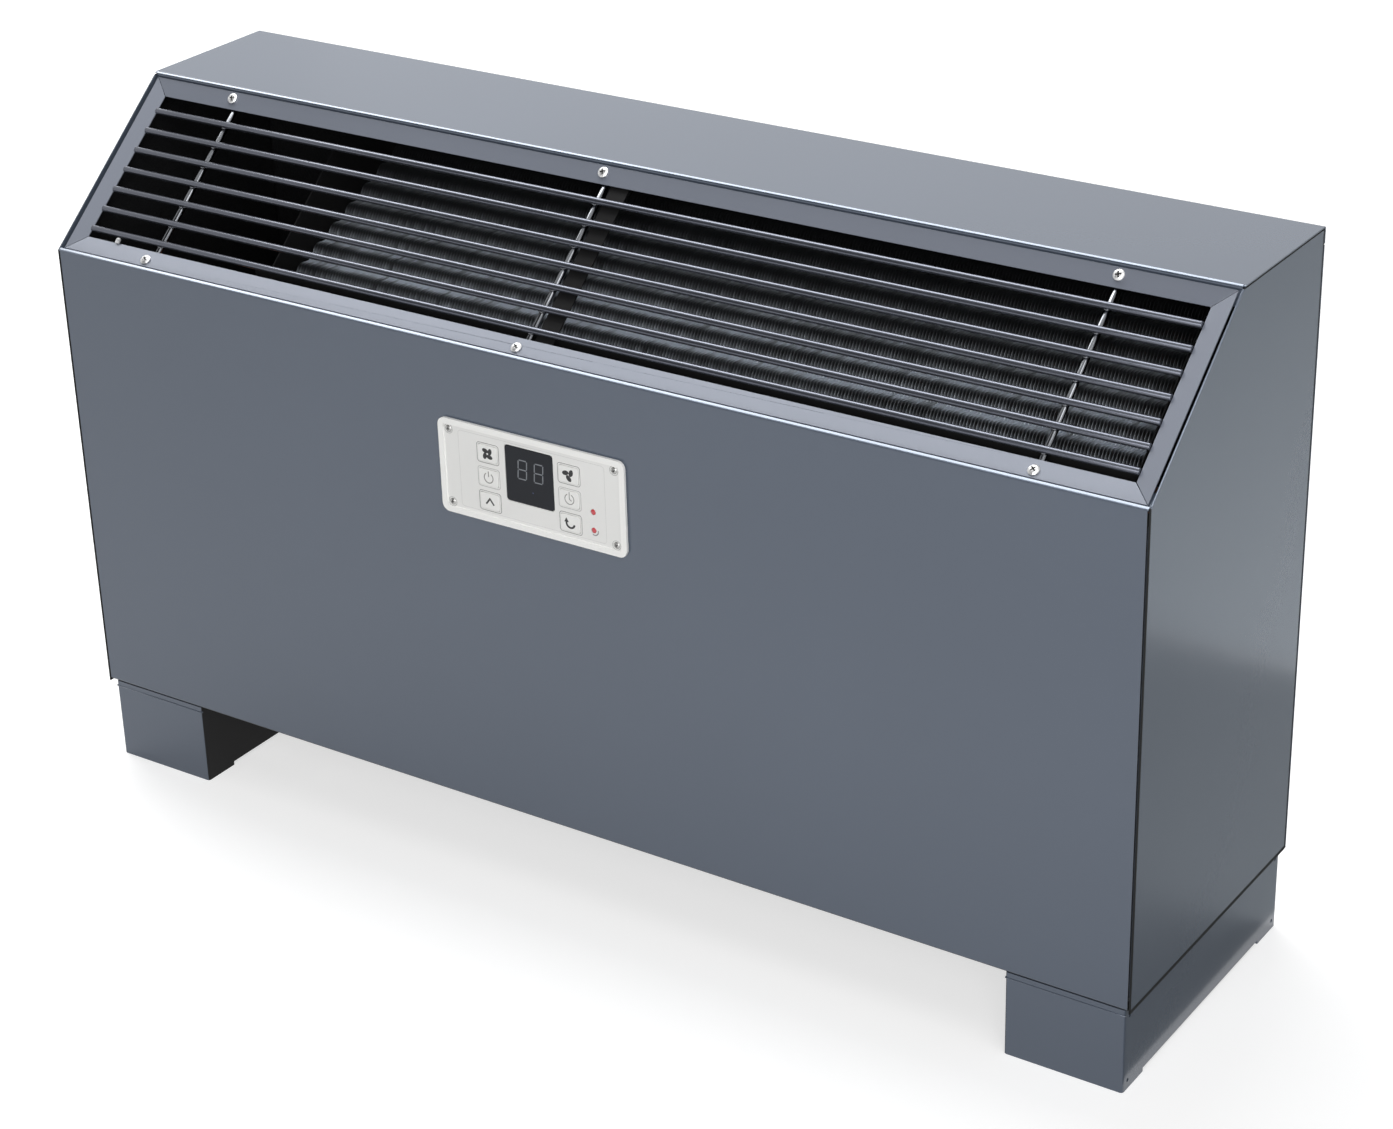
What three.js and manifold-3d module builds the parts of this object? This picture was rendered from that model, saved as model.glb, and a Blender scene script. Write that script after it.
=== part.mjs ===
// A floor standing fan coil unit with a sloped outlet grille: a folded sheet casing on two feet, with a
// control panel in its front, and a water coil, drain pan, twin blowers and a sliding air filter inside.
// Millimetres. X runs to the right as seen from the front, Y to the back and Z up from the floor.
import * as THREE from "three";
import { mergeVertices } from "three/addons/utils/BufferGeometryUtils.js";
import Module from "manifold-3d";

const wasm = await Module();
wasm.setup();

// ---------------------------------------------------------------- driving dimensions
// Casing
const WIDTH = 900;
const DEPTH = 245; // cabinet, front face to back face
const CABINET_HEIGHT = 468; // without the feet
const FRONT_HEIGHT = 364; // upright front face, up to the bend
const SLOPE_DEPTH = 123.5; // front to back, measured on the level
const SHEET = 1;
const INSIDE_BEND = 0.7; // inside radius of every fold
const SEAM = 0.3; // between pieces that seat on each other
const BEYOND = 1; // what cuts a piece reaches this far past its faces
const EDGE_GAP = 0.8; // joint that shows between casing panels
const RETURN = 14; // width of the flanges that the casing panels seat on
const RETURN_END = 12; // those flanges stop this far from a corner
const FRONT_LIFT = 2; // front panel's lower edge above the cabinet's base
const FRONT_FOLD = 10; // fold along the front panel's lower edge
const BACK_FOLD = 12; // fold of the top panel down the back

// Feet
const FOOT_HEIGHT = 66;
const FOOT_WIDTH = 89.5;
const FOOT_SHEET = 1.5;
const FOOT_INSET = 4.5; // from the casing's side
const FOOT_SETBACK = 3; // from the casing's front
const FOOT_FLANGE = 12; // fold that lies on the floor
const FOOT_PAD = 30; // length of foot that stands on the floor at each end
const FOOT_ARCH = 3; // lift of the edge between the pads
const RELIEF_RADIUS = 1.5; // round corner reliefs of the folds
const RELIEF_INSET = 7;
const FOOT_CORNER = 2; // radius of the upright corners

// Outlet frame and grille. V runs up the slope from the front bend, W out of it.
const STRIP = 2.8; // edge of the front and top panels that shows beside the frame
const FRAME_MARGIN = 3.8; // from the casing's corner to the frame
const RAIL_WIDTH = 14;
const RAIL_RECESS = 1.2; // outer edge of the frame below the slope
const RAIL_DISH = THREE.MathUtils.degToRad(9); // the rails lean in towards the outlet
const FLANGE_LENGTH = 10.5; // seat under the rail
const WIRE_DIAMETER = 5;
const WIRE_SIDES = 12;
const WIRE_PITCH = 17.55;
const WIRE_LEVEL = -3; // axis of the long wires, along W
const LOWEST_WIRE = 7.3; // above the lower rail's inner edge
const WIRE_WELD = 0.8; // depth by which crossing wires are pressed together
const CROSS_WIRE_DIAMETER = 4.5;
const CROSS_WIRE_INSET = 84; // outer cross wires, from the casing's sides
const MIDDLE_WIRE_X = -28;
const LIP_HOLD = 1.6; // length of cross wire under each rail's lip
const SCREW_BESIDE_WIRE = 3;
const SCREW_FROM_EDGE = 5.5; // along the rail's width
const STRUT_WIDTH = 15;
const STRUT_BESIDE_WIRE = 13;

// Control panel, centred on the casing's front at CONTROL_X, CONTROL_Z
const CONTROL_X = -16.6;
const CONTROL_Z = 338;
const BEZEL_WIDTH = 158;
const BEZEL_HEIGHT = 72;
const BEZEL_CORNER = 6;
const BEZEL_PROUD = 2.5;
const BEZEL_RIM = 4.5;
const FIELD_DROP = 0.8; // recessed field inside the rim
const PLATE_BACK = 1; // back of the bezel's plate, behind the casing's face
const OPENING_WIDTH = 132; // hole in the front panel
const OPENING_HEIGHT = 62;
const SKIRT_WALL = 2;
const SKIRT_DEPTH = 14;
const BUTTON_WIDTH = 16;
const BUTTON_HEIGHT = 12.3;
const BUTTON_CORNER = 1.5;
const BUTTON_COLUMNS = [-36.7, 32.3];
const BUTTON_PITCH = 18.3;
const MIDDLE_BUTTON_Z = -2;
const BUTTON_PROUD = 0.6;
const BUTTON_TRAVEL = 0.8;
const BUTTON_GUARD = 1; // flange that keeps the cap in, all round and through
const BUTTON_STEM = 2; // radius
const WINDOW_X = -1.5;
const WINDOW_Z = 6;
const WINDOW_WIDTH = 40.5;
const WINDOW_HEIGHT = 42;
const WINDOW_CORNER = 2;
const WINDOW_THICKNESS = 1;
const WINDOW_LEDGE = 1.8;
const LENS_X = 51.5;
const LENS_HEIGHTS = [-7.4, -21.2];
const LENS_RADIUS = 2;
const BEZEL_SCREW_X = 70.2;
const BEZEL_SCREW_Z = 28;
const COUNTERBORE = 0.8; // sinks the bezel's screw heads to its rim
const BOARD_THICKNESS = 1.6;
const BOARD_FRONT = 11; // behind the casing's face
const BOARD_POST_INSET = 4.5;
const BOARD_POST_RADIUS = 2.5;
const SWITCH_SIZE = 6;
const SWITCH_HEIGHT = 3.5;
const DISPLAY_MODULE = 34;

// Chassis
const CHANNEL_HEIGHT = 22;
const CHANNEL_DEPTH = 20;
const FRONT_CHANNEL_SETBACK = 13;
const PIPE_BAY = 166; // from the left side panel to the left bulkhead
const BEND_BAY = 30; // from the right side panel to the right bulkhead
const BULKHEAD_INSET = 30; // below the slope and the top
const BULKHEAD_FRONT_INSET = 22;

// Coil, in its own frame: U runs up its tilted face, T out of it
const COIL_TILT = THREE.MathUtils.degToRad(25);
const COIL_BEHIND_FRONT = 129;
const COIL_BELOW_TOP = 119;
const COIL_WIDTH = 190;
const COIL_THICKNESS = 65;
const FIN_END_GAP = 2; // outer fins to the bulkheads
const TUBE_DIAMETER = 10;
const TUBE_SIDES = 8;
const TUBE_PITCH = 22;
const RETURN_BEND_STEPS = 4;
const TUBE_PASSES = 8; // in each row
const ROW_PITCH = 28;
const TUBE_STUB = 12; // inlet and outlet beyond the bulkhead
const PAN_CLEARANCE = 4;
const PAN_DEPTH = 20;
const PAN_REAR = 30; // rear wall behind the coil's lowest edge
const PAN_RAISE = 30; // front wall above the coil's lowest edge
const SPOUT_DIAMETER = 16;
const SPOUT_SIDES = 12;
const SPOUT_LENGTH = 18; // beyond the bulkhead

// Blowers
const DECK_HEIGHT = 234; // above the cabinet's base
const DECK_FOLD = 12;
const DECK_FRONT_INSET = 26;
const DECK_BACK_INSET = 5;
const FAN_AXIS_Y = 0;
const FAN_AXIS_DROP = 120; // below the deck
const WHEEL_DIAMETER = 140;
const WHEEL_LENGTH = 196;
const WHEEL_BLADES = 16;
const WHEEL_SIDES = 16;
const BLADE_CHORD = 15;
const BLADE_THICKNESS = 1.4;
const BLADE_LEAN = 3.75; // of the blade's outer edge
const WHEEL_RING = 2; // thickness of the end rings and the centre disc
const HUB_DIAMETER = 26;
const HUB_LENGTH = 24;
const HOUSING_WIDTH = 220;
const HOUSING_INLET = 112;
const INLET_SIDES = 24;
const SCROLL_START = 76; // scroll radius at the tongue
const SCROLL_END = 110; // scroll radius where it runs into the outlet
const TONGUE_ANGLE = THREE.MathUtils.degToRad(70);
const SCROLL_STEPS = 20;
const SHAFT_DIAMETER = 10;
const MOTOR_DIAMETER = 92;
const MOTOR_LENGTH = 110;
const MOTOR_SIDES = 24;
const MOTOR_DOME = 18; // length of each domed end
const MOTOR_BOSS_DIAMETER = 40;
const MOTOR_BOSS_LENGTH = 5;
const MOTOR_TO_HOUSING = 25;
const CRADLE_WIDTH = 40;
const CRADLE_STRAP = 3;

// Filter
const FILTER_WIDTH = 600;
const FILTER_LENGTH = 210;
const FILTER_THICKNESS = 8;
const FILTER_CENTRE_X = 34;
const FILTER_FRONT_INSET = 24;
const FILTER_PLAY = 0.4; // in its rails, on each side
const FILTER_BORDER = 14;
const FILTER_BAR = 3;
const FILTER_BARS = 5;
const FILTER_FABRIC = 1.2;
const FILTER_LIP = 9; // rail lips over the filter's edges
const FILTER_PULL = 60; // width of the finger notch in its front bar

// Fasteners: head radius, head height, shank radius and shank length
const GRILLE_SCREW = { head: 4, height: 2.2, shank: 1.9, length: 9 };
const BEZEL_SCREW = { head: 2.5, height: 1.3, shank: 1.3, length: 7 };
const FOOT_SCREW = { head: 5, height: 3, shank: 2.5, length: 10 };
const SHANK_CLEARANCE = 0.4;
const SCREW_SIDES = 12;
const HEAD_EDGE = 0.35; // a head's upright edge, as a share of its height
const HEAD_CROWN = 0.7; // flat crown, as a share of its radius
const RECESS_REACH = 0.55; // cross recess, as shares of the head's radius
const RECESS_HALF_WIDTH = 0.12;
const RECESS_DEPTH = 0.55; // as a share of the head's height

// Pipe bay
const PIPE_DIAMETER = 18;
const PIPE_BEND = 24;
const PIPE_SIDES = 10;
const PIPE_BEND_STEPS = 6;
const PIPE_END_HEIGHT = 24; // lower ends above the cabinet's base
const PIPE_REACH = 25; // from the coil's stubs to the falling pipes
const PIPE_SPREAD = 26; // between the falling pipes
const VALVE_HEIGHT = 50; // centre above the cabinet's base
const VALVE_BODY = 30;
const ACTUATOR_DIAMETER = 40;
const ACTUATOR_LENGTH = 55;
const ACTUATOR_SIDES = 20;
const TERMINAL_BOX = { x: 46, y: 110, z: 130, wall: 2, behindFront: 50, aboveBase: 90, gland: 7 };

// ---------------------------------------------------------------- derived places
const HALF = WIDTH / 2;
const FRONT_Y = (BEZEL_PROUD - DEPTH) / 2; // the bezel stands proud, and the whole is centred on Y
const BACK_Y = FRONT_Y + DEPTH;
const BASE_Z = FOOT_HEIGHT;
const TOP_Z = BASE_Z + CABINET_HEIGHT;
const BEND_Z = BASE_Z + FRONT_HEIGHT;
const SLOPE_RISE = CABINET_HEIGHT - FRONT_HEIGHT;
const SLOPE_LENGTH = Math.hypot(SLOPE_DEPTH, SLOPE_RISE);
const SLOPE = Math.atan2(SLOPE_RISE, SLOPE_DEPTH);
const PANEL_HALF = HALF - SHEET - EDGE_GAP; // front panel and top panel's folds, between the side panels
const INNER_HALF = HALF - SHEET - SEAM; // what fits between the side panels
const LEFT_BULKHEAD = -HALF + SHEET + PIPE_BAY; // left face
const RIGHT_BULKHEAD = HALF - SHEET - BEND_BAY; // right face
const BAY_LEFT = LEFT_BULKHEAD + SHEET + SEAM;
const BAY_RIGHT = RIGHT_BULKHEAD - SHEET - SEAM;
const BAY_CENTRE = (BAY_LEFT + BAY_RIGHT) / 2;
const CHANNEL_TOP = BASE_Z + CHANNEL_HEIGHT;
const FRONT_CHANNEL_Y = FRONT_Y + FRONT_CHANNEL_SETBACK;
const REAR_CHANNEL_Y = BACK_Y - 2 * (SHEET + SEAM);
const FOOT_OUTER = HALF - FOOT_INSET;
const FOOT_FRONT = FRONT_Y + FOOT_SETBACK;
const FOOT_TOP = FOOT_HEIGHT - SEAM;

// ---------------------------------------------------------------- materials
const finish = (color, roughness, metalness) =>
  new THREE.MeshStandardMaterial({ color, roughness, metalness });
const casingPaint = finish(0x5f6670, 0.42, 0.35);
const framePaint = finish(0x7c828b, 0.4, 0.35);
const platedSteel = finish(0xb9bcc2, 0.25, 0.9);
const galvanised = finish(0x9ba1a6, 0.45, 0.7);
const whitePlastic = finish(0xdfdfdd, 0.5, 0);
const buttonPlastic = finish(0xe6e6e4, 0.45, 0);
const darkWindow = finish(0x373a40, 0.15, 0);
const redLens = finish(0xc4201c, 0.25, 0);
const circuitBoard = finish(0x1f5a3a, 0.6, 0);
const aluminium = finish(0xb4b9be, 0.35, 0.85);
const copper = finish(0xb4693f, 0.35, 0.9);
const brass = finish(0xb08d4c, 0.35, 0.9);
const blackPlastic = finish(0x1c1d20, 0.6, 0);
const motorPaint = finish(0x2a2c30, 0.5, 0.3);
const filterPlastic = finish(0x3a3d42, 0.8, 0);

// ---------------------------------------------------------------- shapes and solids
const AXIS_X = new THREE.Vector3(1, 0, 0);
const AXIS_Y = new THREE.Vector3(0, 1, 0);
const AXIS_Z = new THREE.Vector3(0, 0, 1);

const outline = (points) => new THREE.Shape(points.map(([a, b]) => new THREE.Vector2(a, b)));

function extruded(shape, depth, curveSegments = 1) {
  return new THREE.ExtrudeGeometry(shape, { depth, bevelEnabled: false, curveSegments });
}

// A solid from x0 to x1 whose outline is given in Y and Z.
function prismX(points, x0, x1) {
  const turned = new THREE.Matrix4().makeBasis(AXIS_Y, AXIS_Z, AXIS_X);
  return extruded(outline(points), x1 - x0).applyMatrix4(turned).translate(x0, 0, 0);
}

// A solid from y0 to y1 whose shape is given in X and Z.
function prismY(shape, y0, y1, curveSegments) {
  const turned = new THREE.Matrix4().makeBasis(AXIS_X, AXIS_Z, AXIS_Y.clone().negate());
  return extruded(shape, y1 - y0, curveSegments).applyMatrix4(turned).translate(0, y1, 0);
}

function box(x0, x1, y0, y1, z0, z1) {
  const made = new THREE.BoxGeometry(x1 - x0, y1 - y0, z1 - z0);
  return made.translate((x0 + x1) / 2, (y0 + y1) / 2, (z0 + z1) / 2);
}

// A round bar from one point to another.
function bar(from, to, radius, sides = 12) {
  const along = to.clone().sub(from);
  const made = new THREE.CylinderGeometry(radius, radius, along.length(), sides);
  const turn = new THREE.Quaternion().setFromUnitVectors(AXIS_Y, along.clone().normalize());
  const middle = from.clone().add(to).multiplyScalar(0.5);
  return made.applyQuaternion(turn).translate(middle.x, middle.y, middle.z);
}

function roundedRectangle(width, height, radius, x = 0, y = 0) {
  const shape = new THREE.Shape();
  const right = width / 2 - radius;
  const top = height / 2 - radius;
  shape.absarc(x + right, y + top, radius, 0, Math.PI / 2);
  shape.absarc(x - right, y + top, radius, Math.PI / 2, Math.PI);
  shape.absarc(x - right, y - top, radius, Math.PI, 1.5 * Math.PI);
  shape.absarc(x + right, y - top, radius, 1.5 * Math.PI, 2 * Math.PI);
  return shape;
}

function solidOf(geometry) {
  const bare = geometry.clone();
  bare.deleteAttribute("normal");
  bare.deleteAttribute("uv");
  const merged = mergeVertices(bare, 1e-4);
  const mesh = new wasm.Mesh({
    numProp: 3,
    vertProperties: merged.attributes.position.array,
    triVerts: new Uint32Array(merged.index.array),
  });
  return new wasm.Manifold(mesh);
}

function geometryOf(solid) {
  const mesh = solid.getMesh();
  const made = new THREE.BufferGeometry();
  made.setAttribute("position", new THREE.BufferAttribute(mesh.vertProperties, 3));
  made.setIndex(new THREE.BufferAttribute(mesh.triVerts, 1));
  return made;
}

function join(...geometries) {
  return geometryOf(geometries.map(solidOf).reduce((all, next) => all.add(next)));
}

function cut(base, ...tools) {
  return geometryOf(tools.map(solidOf).reduce((rest, tool) => rest.subtract(tool), solidOf(base)));
}

// The closed outline of a bent sheet: the chain is one face, and the metal lies to the right of it.
function bentSheet(chain, thickness = SHEET, steps = 3) {
  const face = [];
  const back = [];
  const rightOf = (v) => new THREE.Vector2(v.y, -v.x);
  const points = chain.map(([a, b]) => new THREE.Vector2(a, b));
  points.forEach((corner, i) => {
    const into = i > 0 ? corner.clone().sub(points[i - 1]).normalize() : null;
    const out = i < points.length - 1 ? points[i + 1].clone().sub(corner).normalize() : null;
    if (!into || !out) {
      face.push(corner);
      back.push(corner.clone().addScaledVector(rightOf(into ?? out), thickness));
      return;
    }
    const turn = Math.atan2(into.cross(out), into.dot(out));
    const faceRadius = turn > 0 ? INSIDE_BEND : INSIDE_BEND + thickness;
    const backRadius = turn > 0 ? INSIDE_BEND + thickness : INSIDE_BEND;
    const start = corner.clone().addScaledVector(into, -faceRadius * Math.tan(Math.abs(turn) / 2));
    const centre = start.clone().addScaledVector(rightOf(into), -Math.sign(turn) * faceRadius);
    const spoke = start.sub(centre).normalize();
    for (let step = 0; step <= steps; step++) {
      const direction = spoke.clone().rotateAround(new THREE.Vector2(), (turn * step) / steps);
      face.push(centre.clone().addScaledVector(direction, faceRadius));
      back.push(centre.clone().addScaledVector(direction, backRadius));
    }
  });
  return [...face, ...back.reverse()].map((p) => [p.x, p.y]);
}

// A round tube through points, with bends between its straight runs, which run a little into them.
function bentTube(points, radius, bendRadius, sides = PIPE_SIDES) {
  const overlap = SEAM;
  const runs = [];
  let from = points[0];
  for (let i = 1; i < points.length; i++) {
    const corner = points[i];
    const into = corner.clone().sub(from).normalize();
    if (i === points.length - 1) {
      runs.push(bar(from, corner, radius, sides));
      break;
    }
    const out = points[i + 1].clone().sub(corner).normalize();
    const start = corner.clone().addScaledVector(into, -bendRadius);
    const end = corner.clone().addScaledVector(out, bendRadius);
    runs.push(bar(from, start.clone().addScaledVector(into, overlap), radius, sides));
    const bend = new THREE.QuadraticBezierCurve3(start, corner, end);
    runs.push(tubeAlong(bend, radius, sides, PIPE_BEND_STEPS));
    from = end.addScaledVector(out, -overlap);
  }
  return join(...runs);
}

function tubeAlong(curve, radius, sides, steps) {
  const ring = new THREE.Shape();
  ring.absarc(0, 0, radius, 0, 2 * Math.PI);
  return new THREE.ExtrudeGeometry(ring, { extrudePath: curve, steps, curveSegments: sides / 2 });
}

// A pan head screw that stands on the plane z = 0, with a cross recess in its head.
function panScrew({ head, height, shank, length }) {
  const profile = [
    [0, -length],
    [shank, -length],
    [shank, 0],
    [head, 0],
    [head, height * HEAD_EDGE],
    [head * HEAD_CROWN, height],
    [0, height],
  ];
  const turned = new THREE.LatheGeometry(profile.map(([r, y]) => new THREE.Vector2(r, y)), SCREW_SIDES);
  const reach = head * RECESS_REACH;
  const half = head * RECESS_HALF_WIDTH;
  const floor = height * (1 - RECESS_DEPTH);
  return cut(
    turned.rotateX(Math.PI / 2),
    box(-reach, reach, -half, half, floor, height + BEYOND),
    box(-half, half, -reach, reach, floor, height + BEYOND),
  );
}

// The hole that a screw's shank passes through, around z = 0.
function shankHole({ shank, length }) {
  const reach = AXIS_Z.clone().multiplyScalar(length);
  return bar(reach.clone().negate(), reach, shank + SHANK_CLEARANCE, 8);
}

const unit = new THREE.Group();

function add(name, geometry, material, parent = unit) {
  const mesh = new THREE.Mesh(geometry, material.clone());
  mesh.name = name;
  parent.add(mesh);
  return mesh;
}

// ---------------------------------------------------------------- the slope's frame
const slope = new THREE.Group();
slope.position.set(0, FRONT_Y, BEND_Z);
slope.rotation.x = SLOPE;
slope.updateMatrix();
unit.add(slope);

// A point of the slope, V up it and W out of it, as Y and Z.
const onSlope = (v, w) => [
  FRONT_Y + v * Math.cos(SLOPE) - w * Math.sin(SLOPE),
  BEND_Z + v * Math.sin(SLOPE) + w * Math.cos(SLOPE),
];

// A rail's cross section, with A inwards from the casing's corner: along its dished face and down from it.
const onRail = (along, down) => [
  FRAME_MARGIN + along * Math.cos(RAIL_DISH) - down * Math.sin(RAIL_DISH),
  -RAIL_RECESS - along * Math.sin(RAIL_DISH) - down * Math.cos(RAIL_DISH),
];
const RAIL_LIP = onRail(RAIL_WIDTH, SHEET); // lower inner edge
const FRAME_INNER = onRail(RAIL_WIDTH, 0)[0]; // inner edge from the casing's corner

// The cabinet's outline in Y and Z, moved in from each of its faces.
function cabinetOutline({ front = 0, slopeInset = 0, top = 0, back = 0, bottom = 0 }) {
  const drop = slopeInset / Math.cos(SLOPE);
  const frontY = FRONT_Y + front;
  const topZ = TOP_Z - top;
  const crestY = FRONT_Y + (topZ - BEND_Z + drop) / Math.tan(SLOPE);
  return [
    [frontY, BASE_Z + bottom],
    [frontY, BEND_Z + front * Math.tan(SLOPE) - drop],
    [crestY, topZ],
    [BACK_Y - back, topZ],
    [BACK_Y - back, BASE_Z + bottom],
  ];
}

// ---------------------------------------------------------------- casing
// The fold that carries a rail: over the bend, down beside the frame and in under the rail.
function railSeat(fromEdge) {
  const flangeDown = SHEET + SEAM;
  const backTo = (v) => (v - onRail(0, flangeDown)[0]) / Math.cos(RAIL_DISH);
  return [
    fromEdge(0, 0),
    fromEdge(STRIP, 0),
    fromEdge(...onRail(backTo(STRIP), flangeDown)),
    fromEdge(...onRail(FLANGE_LENGTH, flangeDown)),
  ];
}
const fromBend = (v, w) => onSlope(v, w);
const fromCrest = (v, w) => onSlope(SLOPE_LENGTH - v, w);

function screwPlaces() {
  const outerX = HALF - CROSS_WIRE_INSET;
  return [
    ["left", -outerX - SCREW_BESIDE_WIRE],
    ["middle", MIDDLE_WIRE_X - SCREW_BESIDE_WIRE],
    ["right", outerX],
  ];
}

// Moves a shape made around z = 0 to a grille screw's place, in the slope's frame.
function atRail(geometry, x, upper, down) {
  const [v, w] = onRail(SCREW_FROM_EDGE, down);
  geometry.rotateX(upper ? RAIL_DISH : -RAIL_DISH);
  return geometry.translate(x, upper ? SLOPE_LENGTH - v : v, w);
}

function railHoles(upper) {
  return screwPlaces().map(([, x]) => atRail(shankHole(GRILLE_SCREW), x, upper, 0));
}

function frontPanel() {
  const lowerZ = BASE_Z + FRONT_LIFT;
  const chain = [[FRONT_Y + FRONT_FOLD, lowerZ], [FRONT_Y, lowerZ], ...railSeat(fromBend)];
  const opening = box(
    CONTROL_X - OPENING_WIDTH / 2,
    CONTROL_X + OPENING_WIDTH / 2,
    FRONT_Y - BEYOND,
    FRONT_Y + SHEET + BEYOND,
    CONTROL_Z - OPENING_HEIGHT / 2,
    CONTROL_Z + OPENING_HEIGHT / 2,
  );
  const bezelHoles = bezelScrewPlaces().map(([, x, z]) =>
    shankHole(BEZEL_SCREW).rotateX(Math.PI / 2).translate(CONTROL_X + x, FRONT_Y, CONTROL_Z + z),
  );
  const seatHoles = railHoles(false).map((hole) => hole.applyMatrix4(slope.matrix));
  const sheet = prismX(bentSheet(chain), -PANEL_HALF, PANEL_HALF);
  return cut(sheet, opening, ...bezelHoles, ...seatHoles);
}

function topPanel() {
  const chain = [...railSeat(fromCrest).reverse(), [BACK_Y, TOP_Z], [BACK_Y, TOP_Z - BACK_FOLD]];
  const sheet = prismX(bentSheet(chain), -HALF, HALF);
  const frontBlock = (x0, x1) =>
    box(x0, x1, FRONT_Y, FRONT_Y + SLOPE_DEPTH + RETURN, BEND_Z, TOP_Z - SHEET);
  const seatHoles = railHoles(true).map((hole) => hole.applyMatrix4(slope.matrix));
  return cut(
    sheet,
    frontBlock(-HALF - BEYOND, -PANEL_HALF),
    frontBlock(PANEL_HALF, HALF + BEYOND),
    ...seatHoles,
  );
}

function sidePanel(side) {
  const jointEdge = SHEET + EDGE_GAP;
  const face = cabinetOutline({ top: jointEdge, back: jointEdge });
  const outer = side * HALF;
  const inner = side * (HALF - SHEET);
  const flangeEdge = side * (HALF - RETURN);
  const between = (a, b, build) => build(Math.min(a, b), Math.max(a, b));
  const behind = SHEET + SEAM;
  const overlap = side * (HALF - SHEET / 2);
  const flange = (y0, y1, z0, z1) =>
    between(overlap, flangeEdge, (x0, x1) => box(x0, x1, y0, y1, z0, z1));
  return join(
    between(outer, inner, (x0, x1) => prismX(face, x0, x1)),
    flange(FRONT_Y + behind, FRONT_Y + behind + SHEET, BASE_Z + RETURN_END, BEND_Z - RETURN_END),
    flange(
      FRONT_Y + SLOPE_DEPTH + RETURN_END,
      BACK_Y - RETURN_END,
      TOP_Z - behind - SHEET,
      TOP_Z - behind,
    ),
    flange(BACK_Y - behind - SHEET, BACK_Y - behind, BASE_Z + RETURN_END, TOP_Z - BACK_FOLD - RETURN_END),
  );
}

function buildCasing() {
  add("front_panel", frontPanel(), casingPaint);
  add("top_panel", topPanel(), casingPaint);
  add("left_side_panel", sidePanel(-1), casingPaint);
  add("right_side_panel", sidePanel(1), casingPaint);
  const backTop = TOP_Z - BACK_FOLD - EDGE_GAP;
  add("back_panel", box(-HALF, HALF, BACK_Y - SHEET, BACK_Y, BASE_Z, backTop), casingPaint);
}

// ---------------------------------------------------------------- outlet frame and grille
// A rail with mitred ends, which starts at a corner of the casing and runs along the extrusion.
function mitredRail(length) {
  const section = [onRail(0, 0), onRail(RAIL_WIDTH, 0), onRail(RAIL_WIDTH, SHEET), onRail(0, SHEET)];
  const rail = extruded(outline(section), length);
  const position = rail.attributes.position;
  for (let i = 0; i < position.count; i++) {
    const mitre = position.getX(i) + SEAM;
    const atStart = position.getZ(i) < length / 2;
    position.setZ(i, atStart ? mitre : length - mitre);
  }
  return rail;
}

// Each rail's start, and the directions of its inner side and of its run, in the slope's frame.
function frameRails() {
  const left = AXIS_X.clone().negate();
  const down = AXIS_Y.clone().negate();
  return [
    ["bottom", [-HALF, 0], AXIS_Y, AXIS_X, WIDTH],
    ["top", [HALF, SLOPE_LENGTH], down, left, WIDTH],
    ["left", [-HALF, SLOPE_LENGTH], AXIS_X, down, SLOPE_LENGTH],
    ["right", [HALF, 0], left, AXIS_Y, SLOPE_LENGTH],
  ];
}

function outletGrille() {
  const wireEnd = HALF - FRAME_INNER - SEAM;
  const room = SLOPE_LENGTH - 2 * FRAME_INNER - LOWEST_WIRE;
  const wires = [];
  for (let i = 0; i <= Math.floor(room / WIRE_PITCH); i++) {
    const v = FRAME_INNER + LOWEST_WIRE + i * WIRE_PITCH;
    const from = new THREE.Vector3(-wireEnd, v, WIRE_LEVEL);
    wires.push(bar(from, new THREE.Vector3(wireEnd, v, WIRE_LEVEL), WIRE_DIAMETER / 2, WIRE_SIDES));
  }
  const outerX = HALF - CROSS_WIRE_INSET;
  const start = FRAME_INNER - LIP_HOLD;
  const level = CROSS_WIRE_LEVEL;
  for (const x of [-outerX, MIDDLE_WIRE_X, outerX]) {
    const from = new THREE.Vector3(x, start, level);
    const to = new THREE.Vector3(x, SLOPE_LENGTH - start, level);
    wires.push(bar(from, to, CROSS_WIRE_DIAMETER / 2, WIRE_SIDES));
  }
  return join(...wires);
}

const CROSS_WIRE_LEVEL = Math.min(
  WIRE_LEVEL - (WIRE_DIAMETER + CROSS_WIRE_DIAMETER) / 2 + WIRE_WELD,
  RAIL_LIP[1] - SEAM - CROSS_WIRE_DIAMETER / 2,
);

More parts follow.
